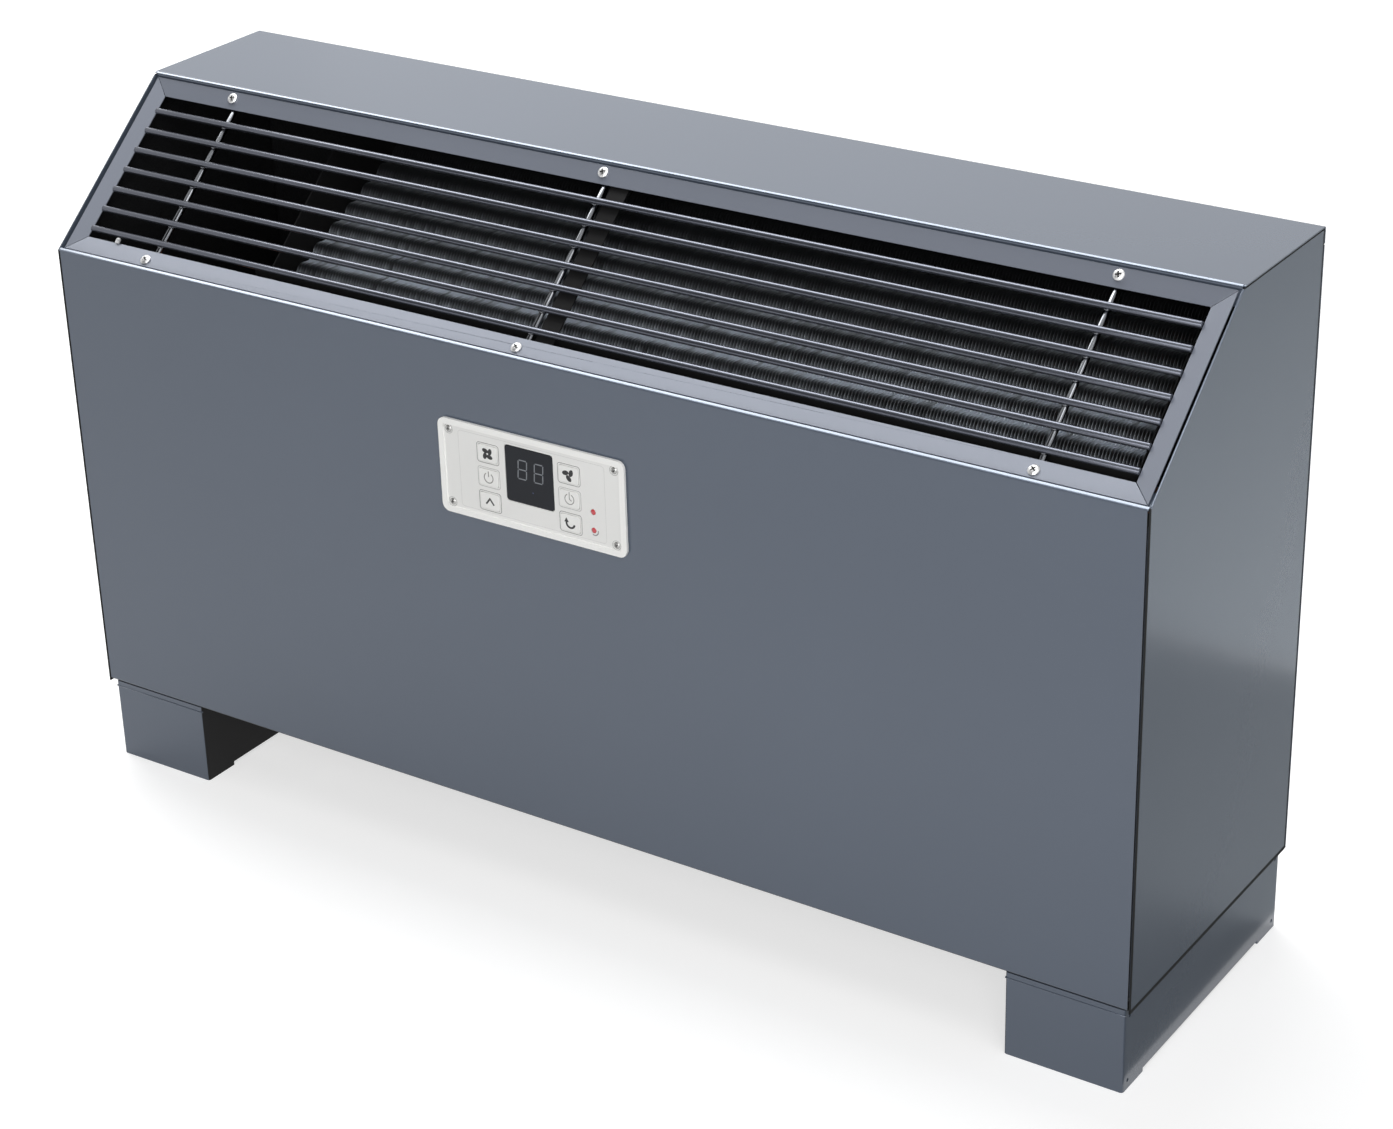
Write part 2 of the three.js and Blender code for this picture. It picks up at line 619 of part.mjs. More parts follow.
function buildOutlet() {
  for (const [side, [x, v], inwards, along, length] of frameRails()) {
    const place = new THREE.Matrix4().makeBasis(inwards, AXIS_Z, along).setPosition(x, v, 0);
    const rail = mitredRail(length).applyMatrix4(place);
    const screwed = side === "bottom" || side === "top";
    const made = screwed ? cut(rail, ...railHoles(side === "top")) : rail;
    add(`frame_${side}_rail`, made, framePaint, slope);
  }
  add("outlet_grille", outletGrille(), platedSteel, slope);
  for (const [where, x] of screwPlaces())
    for (const upper of [false, true]) {
      const screw = atRail(panScrew(GRILLE_SCREW), x, upper, -SEAM);
      add(`grille_screw_${upper ? "upper" : "lower"}_${where}`, screw, platedSteel, slope);
    }
  const [seatV, seatW] = onRail(FLANGE_LENGTH, 2 * SHEET + 2 * SEAM);
  const strutTop = Math.min(seatW, WIRE_LEVEL - WIRE_DIAMETER / 2 - SEAM);
  const strutX = MIDDLE_WIRE_X + STRUT_BESIDE_WIRE;
  const strut = box(
    strutX - STRUT_WIDTH / 2,
    strutX + STRUT_WIDTH / 2,
    seatV - RETURN / 2,
    SLOPE_LENGTH - seatV + RETURN / 2,
    strutTop - SHEET,
    strutTop,
  );
  add("outlet_strut", strut, galvanised, slope);
}

// ---------------------------------------------------------------- control panel
const control = new THREE.Group();
control.position.set(CONTROL_X, FRONT_Y, CONTROL_Z);
unit.add(control);

const FIELD_Y = FIELD_DROP - BEZEL_PROUD;
const BUTTON_ROWS = ["upper", "middle", "lower"];
const SWITCH_FRONT = BOARD_FRONT - SWITCH_HEIGHT;

function bezelScrewPlaces() {
  const places = [];
  for (const [across, x] of [["left", -BEZEL_SCREW_X], ["right", BEZEL_SCREW_X]])
    for (const [up, z] of [["lower", -BEZEL_SCREW_Z], ["upper", BEZEL_SCREW_Z]])
      places.push([`${up}_${across}`, x, z]);
  return places;
}

function buttonPlaces() {
  const places = [];
  ["left", "right"].forEach((column, i) =>
    BUTTON_ROWS.forEach((row, j) =>
      places.push([`button_${row}_${column}`, BUTTON_COLUMNS[i], MIDDLE_BUTTON_Z + (1 - j) * BUTTON_PITCH]),
    ),
  );
  return places;
}

// A hole or a solid along Y in the bezel, with round corners.
const plug = (width, height, radius, x, z, y0, y1, curveSegments = 1) =>
  prismY(roundedRectangle(width, height, radius, x, z), y0, y1, curveSegments);
const windowPlug = (wider, y0, y1) =>
  plug(WINDOW_WIDTH + wider, WINDOW_HEIGHT + wider, WINDOW_CORNER, WINDOW_X, WINDOW_Z, y0, y1);
const roundBar = (radius, x, z, y0, y1) =>
  bar(new THREE.Vector3(x, y0, z), new THREE.Vector3(x, y1, z), radius, 8);

function bezel() {
  const skirtWidth = OPENING_WIDTH - 2 * SEAM;
  const skirtHeight = OPENING_HEIGHT - 2 * SEAM;
  const cavityWidth = skirtWidth - 2 * SKIRT_WALL;
  const cavityHeight = skirtHeight - 2 * SKIRT_WALL;
  const front = -BEZEL_PROUD;
  const through = PLATE_BACK + BEYOND;
  const shell = cut(
    join(
      plug(BEZEL_WIDTH, BEZEL_HEIGHT, BEZEL_CORNER, 0, 0, front, -SEAM, 3),
      plug(skirtWidth, skirtHeight, SEAM, 0, 0, front + SEAM, SKIRT_DEPTH),
    ),
    plug(
      BEZEL_WIDTH - 2 * BEZEL_RIM,
      BEZEL_HEIGHT - 2 * BEZEL_RIM,
      BEZEL_CORNER / 2,
      0,
      0,
      front - BEYOND,
      FIELD_Y,
    ),
    plug(cavityWidth, cavityHeight, SEAM, 0, 0, PLATE_BACK, SKIRT_DEPTH + BEYOND),
  );
  const postX = cavityWidth / 2 - BOARD_POST_INSET;
  const postZ = cavityHeight / 2 - BOARD_POST_INSET;
  const post = (x, z) => roundBar(BOARD_POST_RADIUS, x, z, PLATE_BACK / 2, BOARD_FRONT - SEAM);
  const posts = [-1, 1].flatMap((across) => [-1, 1].map((up) => post(across * postX, up * postZ)));
  const wider = 2 * SEAM;
  const buttonHoles = buttonPlaces().map(([, x, z]) =>
    plug(BUTTON_WIDTH + wider, BUTTON_HEIGHT + wider, BUTTON_CORNER, x, z, front, through),
  );
  const ledge = 2 * WINDOW_LEDGE;
  const windowSeat = FIELD_Y + WINDOW_THICKNESS + SEAM;
  const windowHoles = [
    windowPlug(wider, front, windowSeat),
    windowPlug(-ledge, front, through),
  ];
  const lensHoles = LENS_HEIGHTS.map((z) => roundBar(LENS_RADIUS + SEAM, LENS_X, z, front, through));
  const screwHoles = bezelScrewPlaces().flatMap(([, x, z]) => [
    roundBar(BEZEL_SCREW.head + SEAM, x, z, front, FIELD_Y + COUNTERBORE),
    roundBar(BEZEL_SCREW.shank + SHANK_CLEARANCE, x, z, front, through),
  ]);
  return cut(join(shell, ...posts), ...buttonHoles, ...windowHoles, ...lensHoles, ...screwHoles);
}

function button(x, z) {
  const guardFront = PLATE_BACK + SEAM;
  const guardBack = guardFront + BUTTON_GUARD;
  const wider = 2 * BUTTON_GUARD;
  const stemEnd = SWITCH_FRONT - SEAM - BUTTON_TRAVEL;
  return join(
    plug(BUTTON_WIDTH, BUTTON_HEIGHT, BUTTON_CORNER, x, z, FIELD_Y - BUTTON_PROUD, guardBack - SEAM),
    plug(BUTTON_WIDTH + wider, BUTTON_HEIGHT + wider, BUTTON_CORNER, x, z, guardFront, guardBack),
    roundBar(BUTTON_STEM, x, z, guardBack - SEAM, stemEnd),
  );
}

function lens(z) {
  const guardFront = PLATE_BACK + SEAM;
  return join(
    roundBar(LENS_RADIUS, LENS_X, z, FIELD_Y - SEAM, guardFront + SEAM),
    roundBar(LENS_RADIUS + BUTTON_GUARD, LENS_X, z, guardFront, guardFront + BUTTON_GUARD),
  );
}

function board() {
  const width = OPENING_WIDTH - 2 * (SKIRT_WALL + 2 * SEAM);
  const height = OPENING_HEIGHT - 2 * (SKIRT_WALL + 2 * SEAM);
  const back = BOARD_FRONT + BOARD_THICKNESS;
  const into = BOARD_FRONT + BOARD_THICKNESS / 2;
  const half = SWITCH_SIZE / 2;
  const switches = buttonPlaces().map(([, x, z]) =>
    box(x - half, x + half, SWITCH_FRONT, into, z - half, z + half),
  );
  const module = DISPLAY_MODULE / 2;
  const moduleFront = PLATE_BACK + SEAM;
  return join(
    box(-width / 2, width / 2, BOARD_FRONT, back, -height / 2, height / 2),
    box(WINDOW_X - module, WINDOW_X + module, moduleFront, into, WINDOW_Z - module, WINDOW_Z + module),
    ...switches,
  );
}

function buildControl() {
  add("control_bezel", bezel(), whitePlastic, control);
  add("display_window", windowPlug(0, FIELD_Y, FIELD_Y + WINDOW_THICKNESS), darkWindow, control);
  for (const [name, x, z] of buttonPlaces()) add(name, button(x, z), buttonPlastic, control);
  add("indicator_lens_upper", lens(LENS_HEIGHTS[0]), redLens, control);
  add("indicator_lens_lower", lens(LENS_HEIGHTS[1]), redLens, control);
  for (const [where, x, z] of bezelScrewPlaces()) {
    const screw = panScrew(BEZEL_SCREW).rotateX(Math.PI / 2).translate(x, FIELD_Y + COUNTERBORE - SEAM, z);
    add(`bezel_screw_${where}`, screw, platedSteel, control);
  }
  add("control_board", board(), circuitBoard, control);
}

// ---------------------------------------------------------------- feet
const FOOT_SCREW_PLACES = [
  ["front", FRONT_CHANNEL_Y + CHANNEL_DEPTH / 2],
  ["rear", REAR_CHANNEL_Y - CHANNEL_DEPTH / 2],
];
const FOOT_SCREW_X = FOOT_OUTER - FOOT_WIDTH / 2;

function foot(side) {
  const x0 = side > 0 ? FOOT_OUTER - FOOT_WIDTH : -FOOT_OUTER;
  const x1 = x0 + FOOT_WIDTH;
  const middleX = (x0 + x1) / 2;
  const middleY = (FOOT_FRONT + BACK_Y) / 2;
  const length = BACK_Y - FOOT_FRONT;
  const plan = roundedRectangle(FOOT_WIDTH, length, FOOT_CORNER, middleX, middleY);
  const wall = FOOT_SHEET;
  const cavity = box(
    x0 + wall,
    x1 - wall,
    FOOT_FRONT + wall,
    BACK_Y - wall,
    wall,
    FOOT_TOP - wall,
  );
  const mouth = box(
    x0 + FOOT_FLANGE,
    x1 - FOOT_FLANGE,
    FOOT_FRONT + FOOT_FLANGE,
    BACK_Y - FOOT_FLANGE,
    -BEYOND,
    wall + BEYOND,
  );
  const archFront = FOOT_FRONT + FOOT_PAD;
  const arch = box(x0 - BEYOND, x1 + BEYOND, archFront, BACK_Y - FOOT_PAD, -BEYOND, FOOT_ARCH);
  const outerX = side > 0 ? x1 : x0;
  const reliefs = [
    [FOOT_FRONT + RELIEF_INSET, FOOT_TOP - RELIEF_INSET],
    [FOOT_FRONT + RELIEF_INSET, RELIEF_INSET],
    [BACK_Y - RELIEF_INSET, FOOT_TOP - RELIEF_INSET],
    [BACK_Y - RELIEF_INSET, RELIEF_INSET],
  ].map(([y, z]) =>
    bar(
      new THREE.Vector3(outerX - 2 * wall, y, z),
      new THREE.Vector3(outerX + 2 * wall, y, z),
      RELIEF_RADIUS,
      8,
    ),
  );
  const holes = FOOT_SCREW_PLACES.map(([, y]) =>
    shankHole(FOOT_SCREW).translate(side * FOOT_SCREW_X, y, FOOT_TOP),
  );
  return cut(extruded(plan, FOOT_TOP), cavity, mouth, arch, ...reliefs, ...holes);
}

function buildFeet() {
  for (const [where, side] of [["left", -1], ["right", 1]]) {
    add(`${where}_foot`, foot(side), casingPaint);
    for (const [end, y] of FOOT_SCREW_PLACES) {
      const underHead = FOOT_TOP - FOOT_SHEET - SEAM;
      const screw = panScrew(FOOT_SCREW).rotateX(Math.PI);
      add(`foot_screw_${where}_${end}`, screw.translate(side * FOOT_SCREW_X, y, underHead), platedSteel);
    }
  }
}

// ---------------------------------------------------------------- chassis
// A channel across the cabinet's base, with its web to the front or to the back.
function channel(webY, inwards) {
  const openY = webY + inwards * CHANNEL_DEPTH;
  const chain = [[openY, BASE_Z], [webY, BASE_Z], [webY, CHANNEL_TOP], [openY, CHANNEL_TOP]];
  const section = bentSheet(inwards > 0 ? chain : chain.reverse());
  const place = FOOT_SCREW_PLACES[inwards > 0 ? 0 : 1][1];
  const holes = [-1, 1].map((side) => {
    const hole = shankHole({ shank: FOOT_SCREW.shank, length: CHANNEL_HEIGHT / 2 });
    return hole.translate(side * FOOT_SCREW_X, place, BASE_Z);
  });
  return cut(prismX(section, -INNER_HALF, INNER_HALF), ...holes);
}

function bulkhead(leftX, ...holes) {
  const face = cabinetOutline({
    front: BULKHEAD_FRONT_INSET,
    slopeInset: BULKHEAD_INSET,
    top: BULKHEAD_INSET,
    back: 2 * (SHEET + SEAM),
    bottom: CHANNEL_HEIGHT + SEAM,
  });
  return cut(prismX(face, leftX, leftX + SHEET), ...holes);
}

// A round hole through a bulkhead.
const throughX = (x, y, z, radius, sides) =>
  bar(new THREE.Vector3(x - 2 * SHEET, y, z), new THREE.Vector3(x + 2 * SHEET, y, z), radius, sides);

function buildChassis() {
  add("chassis_front_channel", channel(FRONT_CHANNEL_Y, 1), galvanised);
  add("chassis_rear_channel", channel(REAR_CHANNEL_Y, -1), galvanised);
  const holeRadius = TUBE_DIAMETER / 2 + SEAM;
  const tubeHole = (x, [u, t]) => throughX(x, ...onCoil(u, t), holeRadius, TUBE_SIDES);
  const tubeHoles = (x) => tubePlaces().map((place) => tubeHole(x, place));
  const spoutHole = throughX(LEFT_BULKHEAD, ...spoutPlace(), SPOUT_DIAMETER / 2 + SEAM, SPOUT_SIDES);
  add("left_bulkhead", bulkhead(LEFT_BULKHEAD, ...tubeHoles(LEFT_BULKHEAD), spoutHole), galvanised);
  add("right_bulkhead", bulkhead(RIGHT_BULKHEAD - SHEET, ...tubeHoles(RIGHT_BULKHEAD)), galvanised);
}

// ---------------------------------------------------------------- coil and drain pan
const COIL_Y = FRONT_Y + COIL_BEHIND_FRONT;
const COIL_Z = TOP_Z - COIL_BELOW_TOP;

// A point of the coil, U up its tilted face and T out of it, as Y and Z.
function onCoil(u, t) {
  const c = Math.cos(COIL_TILT);
  const s = Math.sin(COIL_TILT);
  return [COIL_Y + u * c - t * s, COIL_Z + u * s + t * c];
}

// The tube's passes, in the order in which the water runs: up one row and back down the other.
function tubePlaces() {
  const rise = (pass) => (pass - (TUBE_PASSES - 1) / 2) * TUBE_PITCH;
  const passes = [...Array(TUBE_PASSES).keys()];
  const upper = passes.map((pass) => [rise(pass), ROW_PITCH / 2]);
  const lower = passes.reverse().map((pass) => [rise(pass), -ROW_PITCH / 2]);
  return [...upper, ...lower];
}

class ReturnBend extends THREE.Curve {
  constructor(from, to, outwards) {
    super();
    this.centre = from.clone().add(to).multiplyScalar(0.5);
    this.arm = from.clone().sub(this.centre);
    this.reach = outwards.clone().multiplyScalar(this.arm.length());
  }

  getPoint(t, target = new THREE.Vector3()) {
    const angle = Math.PI * t;
    target.copy(this.centre).addScaledVector(this.arm, Math.cos(angle));
    return target.addScaledVector(this.reach, Math.sin(angle));
  }
}

function coilTubes() {
  const radius = TUBE_DIAMETER / 2;
  const stubEnd = LEFT_BULKHEAD - TUBE_STUB;
  const bendLeft = LEFT_BULKHEAD - SHEET;
  const bendRight = RIGHT_BULKHEAD + SHEET;
  const overlap = SEAM;
  const places = tubePlaces();
  const last = places.length - 1;
  const pieces = places.map(([u, t], i) => {
    const left = i === 0 || i === last ? stubEnd : bendLeft - overlap;
    const at = onCoil(u, t);
    const end = new THREE.Vector3(bendRight + overlap, ...at);
    return bar(new THREE.Vector3(left, ...at), end, radius, TUBE_SIDES);
  });
  for (let i = 0; i < last; i++) {
    const toRight = i % 2 === 0;
    const x = toRight ? bendRight : bendLeft;
    const from = new THREE.Vector3(x, ...onCoil(...places[i]));
    const to = new THREE.Vector3(x, ...onCoil(...places[i + 1]));
    const outwards = AXIS_X.clone().multiplyScalar(toRight ? 1 : -1);
    pieces.push(tubeAlong(new ReturnBend(from, to, outwards), radius, TUBE_SIDES, RETURN_BEND_STEPS));
  }
  return join(...pieces);
}

function coilFins() {
  const u = COIL_WIDTH / 2;
  const t = COIL_THICKNESS / 2;
  const left = BAY_LEFT + FIN_END_GAP;
  const right = BAY_RIGHT - FIN_END_GAP;
  const block = prismX([onCoil(-u, -t), onCoil(u, -t), onCoil(u, t), onCoil(-u, t)], left, right);
  const bores = tubePlaces().map(([a, b]) => {
    const at = onCoil(a, b);
    const from = new THREE.Vector3(BAY_LEFT, ...at);
    return bar(from, new THREE.Vector3(BAY_RIGHT, ...at), TUBE_DIAMETER / 2 + SEAM, TUBE_SIDES);
  });
  return cut(block, ...bores);
}

// The drain pan's section, inside its walls by a margin.
function panSection(margin, top) {
  const [frontY] = onCoil(-COIL_WIDTH / 2, COIL_THICKNESS / 2);
  const [lowY, lowZ] = onCoil(-COIL_WIDTH / 2, -COIL_THICKNESS / 2);
  const front = frontY - PAN_CLEARANCE + margin;
  const rear = lowY + PAN_REAR - margin;
  const floor = lowZ - PAN_DEPTH + margin;
  return [[front, lowZ + PAN_RAISE + top], [front, floor], [rear, floor], [rear, lowZ + top]];
}

function spoutPlace() {
  const [front, , rear] = panSection(SHEET, 0);
  return [(front[0] + rear[0]) / 2, rear[1] + SPOUT_DIAMETER / 2];
}

function drainPan() {
  const at = spoutPlace();
  const spoutEnd = LEFT_BULKHEAD - SPOUT_LENGTH;
  const spout = bar(
    new THREE.Vector3(spoutEnd, ...at),
    new THREE.Vector3(BAY_LEFT + SHEET / 2, ...at),
    SPOUT_DIAMETER / 2,
    SPOUT_SIDES,
  );
  const bore = bar(
    new THREE.Vector3(spoutEnd - BEYOND, ...at),
    new THREE.Vector3(BAY_LEFT + SHEET + BEYOND, ...at),
    SPOUT_DIAMETER / 2 - SHEET,
    SPOUT_SIDES,
  );
  const trough = prismX(panSection(0, 0), BAY_LEFT, BAY_RIGHT);
  const hollow = prismX(panSection(SHEET, PAN_DEPTH), BAY_LEFT + SHEET, BAY_RIGHT - SHEET);
  return cut(join(trough, spout), hollow, bore);
}

function buildCoil() {
  add("coil_fins", coilFins(), aluminium);
  add("coil_tubes", coilTubes(), copper);
  add("drain_pan", drainPan(), galvanised);
}

// ---------------------------------------------------------------- blowers
const DECK_Z = BASE_Z + DECK_HEIGHT;
const FAN_AXIS_Z = DECK_Z - FAN_AXIS_DROP;
const FAN_OFFSET = MOTOR_LENGTH / 2 + MOTOR_TO_HOUSING + HOUSING_WIDTH / 2;
const FAN_PLACES = [["left", BAY_CENTRE - FAN_OFFSET], ["right", BAY_CENTRE + FAN_OFFSET]];

// A blower housing's section: a scroll that opens from the tongue, over the front and round to the back.
function scrollSection(wall, topZ) {
  const points = [];
  for (let i = 0; i <= SCROLL_STEPS; i++) {
    const part = i / SCROLL_STEPS;
    const angle = TONGUE_ANGLE + part * (2 * Math.PI - TONGUE_ANGLE);
    const radius = SCROLL_START + part * (SCROLL_END - SCROLL_START) + wall;
    points.push([FAN_AXIS_Y + radius * Math.cos(angle), FAN_AXIS_Z + radius * Math.sin(angle)]);
  }
  const outletFront = FAN_AXIS_Y + SCROLL_START * Math.cos(TONGUE_ANGLE) - wall;
  return [...points, [FAN_AXIS_Y + SCROLL_END + wall, topZ], [outletFront, topZ]];
}

const onFanAxis = (x) => new THREE.Vector3(x, FAN_AXIS_Y, FAN_AXIS_Z);

function blowerHousing(x) {
  const x0 = x - HOUSING_WIDTH / 2;
  const x1 = x + HOUSING_WIDTH / 2;
  const top = DECK_Z - SHEET - SEAM;
  return cut(
    prismX(scrollSection(SHEET, top), x0, x1),
    prismX(scrollSection(0, top + BEYOND), x0 + SHEET, x1 - SHEET),
    bar(onFanAxis(x0 - BEYOND), onFanAxis(x1 + BEYOND), HOUSING_INLET / 2, INLET_SIDES),
  );
}

function wheelRing(x0, x1, outerRadius, innerRadius) {
  return cut(
    bar(onFanAxis(x0), onFanAxis(x1), outerRadius, WHEEL_SIDES),
    bar(onFanAxis(x0 - BEYOND), onFanAxis(x1 + BEYOND), innerRadius, WHEEL_SIDES),
  );
}

function fanWheel(x) {
  const outer = WHEEL_DIAMETER / 2;
  const inner = outer - BLADE_CHORD;
  const half = WHEEL_LENGTH / 2;
  const bore = SHAFT_DIAMETER / 2 + SEAM;
  const blades = [];
  for (let i = 0; i < WHEEL_BLADES; i++) {
    const turn = (2 * Math.PI * i) / WHEEL_BLADES;
    const t = BLADE_THICKNESS / 2;
    const blade = prismX(
      [
        [inner + SEAM, -t],
        [outer - SEAM, BLADE_LEAN - t],
        [outer - SEAM, BLADE_LEAN + t],
        [inner + SEAM, t],
      ],
      x - half,
      x + half,
    );
    blades.push(blade.rotateX(turn).translate(0, FAN_AXIS_Y, FAN_AXIS_Z));
  }
  return join(
    wheelRing(x - half, x - half + WHEEL_RING, outer, inner),
    wheelRing(x + half - WHEEL_RING, x + half, outer, inner),
    wheelRing(x - WHEEL_RING / 2, x + WHEEL_RING / 2, outer, bore),
    wheelRing(x - HUB_LENGTH / 2, x + HUB_LENGTH / 2, HUB_DIAMETER / 2, bore),
    ...blades,
  );
}

function fanMotor() {
  const half = MOTOR_LENGTH / 2;
  const boss = MOTOR_BOSS_DIAMETER / 2;
  const bore = SHAFT_DIAMETER / 2 + SEAM;
  const crown = half - MOTOR_BOSS_LENGTH;
  const end = [[bore, half], [boss, half]];
  for (const angle of [0, Math.PI / 6, Math.PI / 3, Math.PI / 2]) {
    const radius = boss + (MOTOR_DIAMETER / 2 - boss) * Math.sin(angle);
    end.push([radius, crown - MOTOR_DOME * (1 - Math.cos(angle))]);
  }
  const profile = [...end.map(([r, y]) => [r, -y]), ...end.reverse(), [bore, -half]];
  const turned = new THREE.LatheGeometry(profile.map(([r, y]) => new THREE.Vector2(r, y)), MOTOR_SIDES);
  return turned.rotateZ(-Math.PI / 2).translate(BAY_CENTRE, FAN_AXIS_Y, FAN_AXIS_Z);
}

// A strap round the motor, with two legs up to a foot plate under the deck.
function motorCradle() {
  const x0 = BAY_CENTRE - CRADLE_WIDTH / 2;
  const x1 = BAY_CENTRE + CRADLE_WIDTH / 2;
  const inner = MOTOR_DIAMETER / 2 + SEAM;
  const outer = inner + CRADLE_STRAP;
  const top = DECK_Z - SHEET - SEAM;
  const legs = [-1, 1].map((side) => {
    const a = FAN_AXIS_Y + side * inner;
    const b = FAN_AXIS_Y + side * outer;
    return box(x0, x1, Math.min(a, b), Math.max(a, b), FAN_AXIS_Z, top);
  });
  const feet = [-1, 1].map((side) => {
    const a = FAN_AXIS_Y + side * inner;
    const b = FAN_AXIS_Y + side * (outer + RETURN);
    return box(x0, x1, Math.min(a, b), Math.max(a, b), top - CRADLE_STRAP, top);
  });
  const strap = bar(onFanAxis(x0), onFanAxis(x1), outer, MOTOR_SIDES);
  const bore = bar(onFanAxis(x0 - BEYOND), onFanAxis(x1 + BEYOND), inner, MOTOR_SIDES);
  return cut(join(strap, ...legs, ...feet), bore);
}

function fanDeck() {
  const front = FRONT_Y + DECK_FRONT_INSET;
  const back = BACK_Y - DECK_BACK_INSET;
  const low = DECK_Z - DECK_FOLD;
  const section = bentSheet([[front, low], [front, DECK_Z], [back, DECK_Z], [back, low]]);
  const mouthFront = FAN_AXIS_Y + SCROLL_START * Math.cos(TONGUE_ANGLE);
  const mouths = FAN_PLACES.map(([, x]) =>
    box(
      x - HOUSING_WIDTH / 2 + SHEET,
      x + HOUSING_WIDTH / 2 - SHEET,
      mouthFront,
      FAN_AXIS_Y + SCROLL_END,
      DECK_Z - SHEET - BEYOND,
      DECK_Z + BEYOND,
    ),
  );
  return cut(prismX(section, BAY_LEFT, BAY_RIGHT), ...mouths);
}

function buildBlowers() {
  add("fan_deck", fanDeck(), galvanised);
  for (const [side, x] of FAN_PLACES) {
    add(`blower_housing_${side}`, blowerHousing(x), galvanised);
    add(`fan_wheel_${side}`, fanWheel(x), blackPlastic);
  }
  const shaftHalf = FAN_OFFSET + HUB_LENGTH;
  const shaftEnds = [-shaftHalf, shaftHalf].map((x) => onFanAxis(BAY_CENTRE + x));
  const shaft = bar(...shaftEnds, SHAFT_DIAMETER / 2, WHEEL_SIDES);
  add("fan_shaft", shaft, platedSteel);
  add("fan_motor", fanMotor(), motorPaint);
  add("motor_cradle", motorCradle(), galvanised);
}

// ---------------------------------------------------------------- filter
const FILTER_RAIL_HEIGHT = FILTER_THICKNESS + 2 * (FILTER_PLAY + SHEET);
const FILTER_RAIL_TOP = BASE_Z - SEAM;
const FILTER_BOTTOM = FILTER_RAIL_TOP - SHEET - FILTER_PLAY - FILTER_THICKNESS;
const FILTER_FRONT = FRONT_Y + FILTER_FRONT_INSET;

function airFilter() {
  const x0 = FILTER_CENTRE_X - FILTER_WIDTH / 2;
  const x1 = FILTER_CENTRE_X + FILTER_WIDTH / 2;
  const y1 = FILTER_FRONT + FILTER_LENGTH;
  const top = FILTER_BOTTOM + FILTER_THICKNESS;
  const middle = FILTER_BOTTOM + FILTER_THICKNESS / 2;
  const inside = (margin, z0, z1) =>
    box(x0 + margin, x1 - margin, FILTER_FRONT + margin, y1 - margin, z0, z1);
  const border = cut(
    inside(0, FILTER_BOTTOM, top),
    inside(FILTER_BORDER, FILTER_BOTTOM - BEYOND, top + BEYOND),
  );
  const fabricHalf = FILTER_FABRIC / 2;
  const fabric = inside(FILTER_BORDER / 2, middle - fabricHalf, middle + fabricHalf);
  const pitch = (FILTER_WIDTH - 2 * FILTER_BORDER) / (FILTER_BARS + 1);
  const bars = [...Array(FILTER_BARS).keys()].map((i) => {
    const x = x0 + FILTER_BORDER + (i + 1) * pitch;
    const yEnd = FILTER_BORDER / 2;
    return box(
      x - FILTER_BAR / 2,
      x + FILTER_BAR / 2,
      FILTER_FRONT + yEnd,
      y1 - yEnd,
      FILTER_BOTTOM + SHEET,
      top - SHEET,
    );
  });
  const pull = box(
    FILTER_CENTRE_X - FILTER_PULL / 2,
    FILTER_CENTRE_X + FILTER_PULL / 2,
    FILTER_FRONT - BEYOND,
    FILTER_FRONT + FILTER_BORDER / 2,
    FILTER_BOTTOM - BEYOND,
    FILTER_BOTTOM + FILTER_THICKNESS / 2,
  );
  return cut(join(border, fabric, ...bars), pull);
}

// A channel that is open towards the filter, along one of its sides.
function filterRail(side) {
  const web = FILTER_CENTRE_X + side * (FILTER_WIDTH / 2 + FILTER_PLAY + SHEET);
  const lip = web - side * FILTER_LIP;
  const low = FILTER_RAIL_TOP - FILTER_RAIL_HEIGHT;
  const chain = [[lip, low], [web, low], [web, FILTER_RAIL_TOP], [lip, FILTER_RAIL_TOP]];
  const section = bentSheet(side < 0 ? chain : chain.reverse());
  return prismY(outline(section), FILTER_FRONT, REAR_CHANNEL_Y);
}

function buildFilter() {
  add("air_filter", airFilter(), filterPlastic);
  add("filter_rail_left", filterRail(-1), galvanised);
  add("filter_rail_right", filterRail(1), galvanised);
}

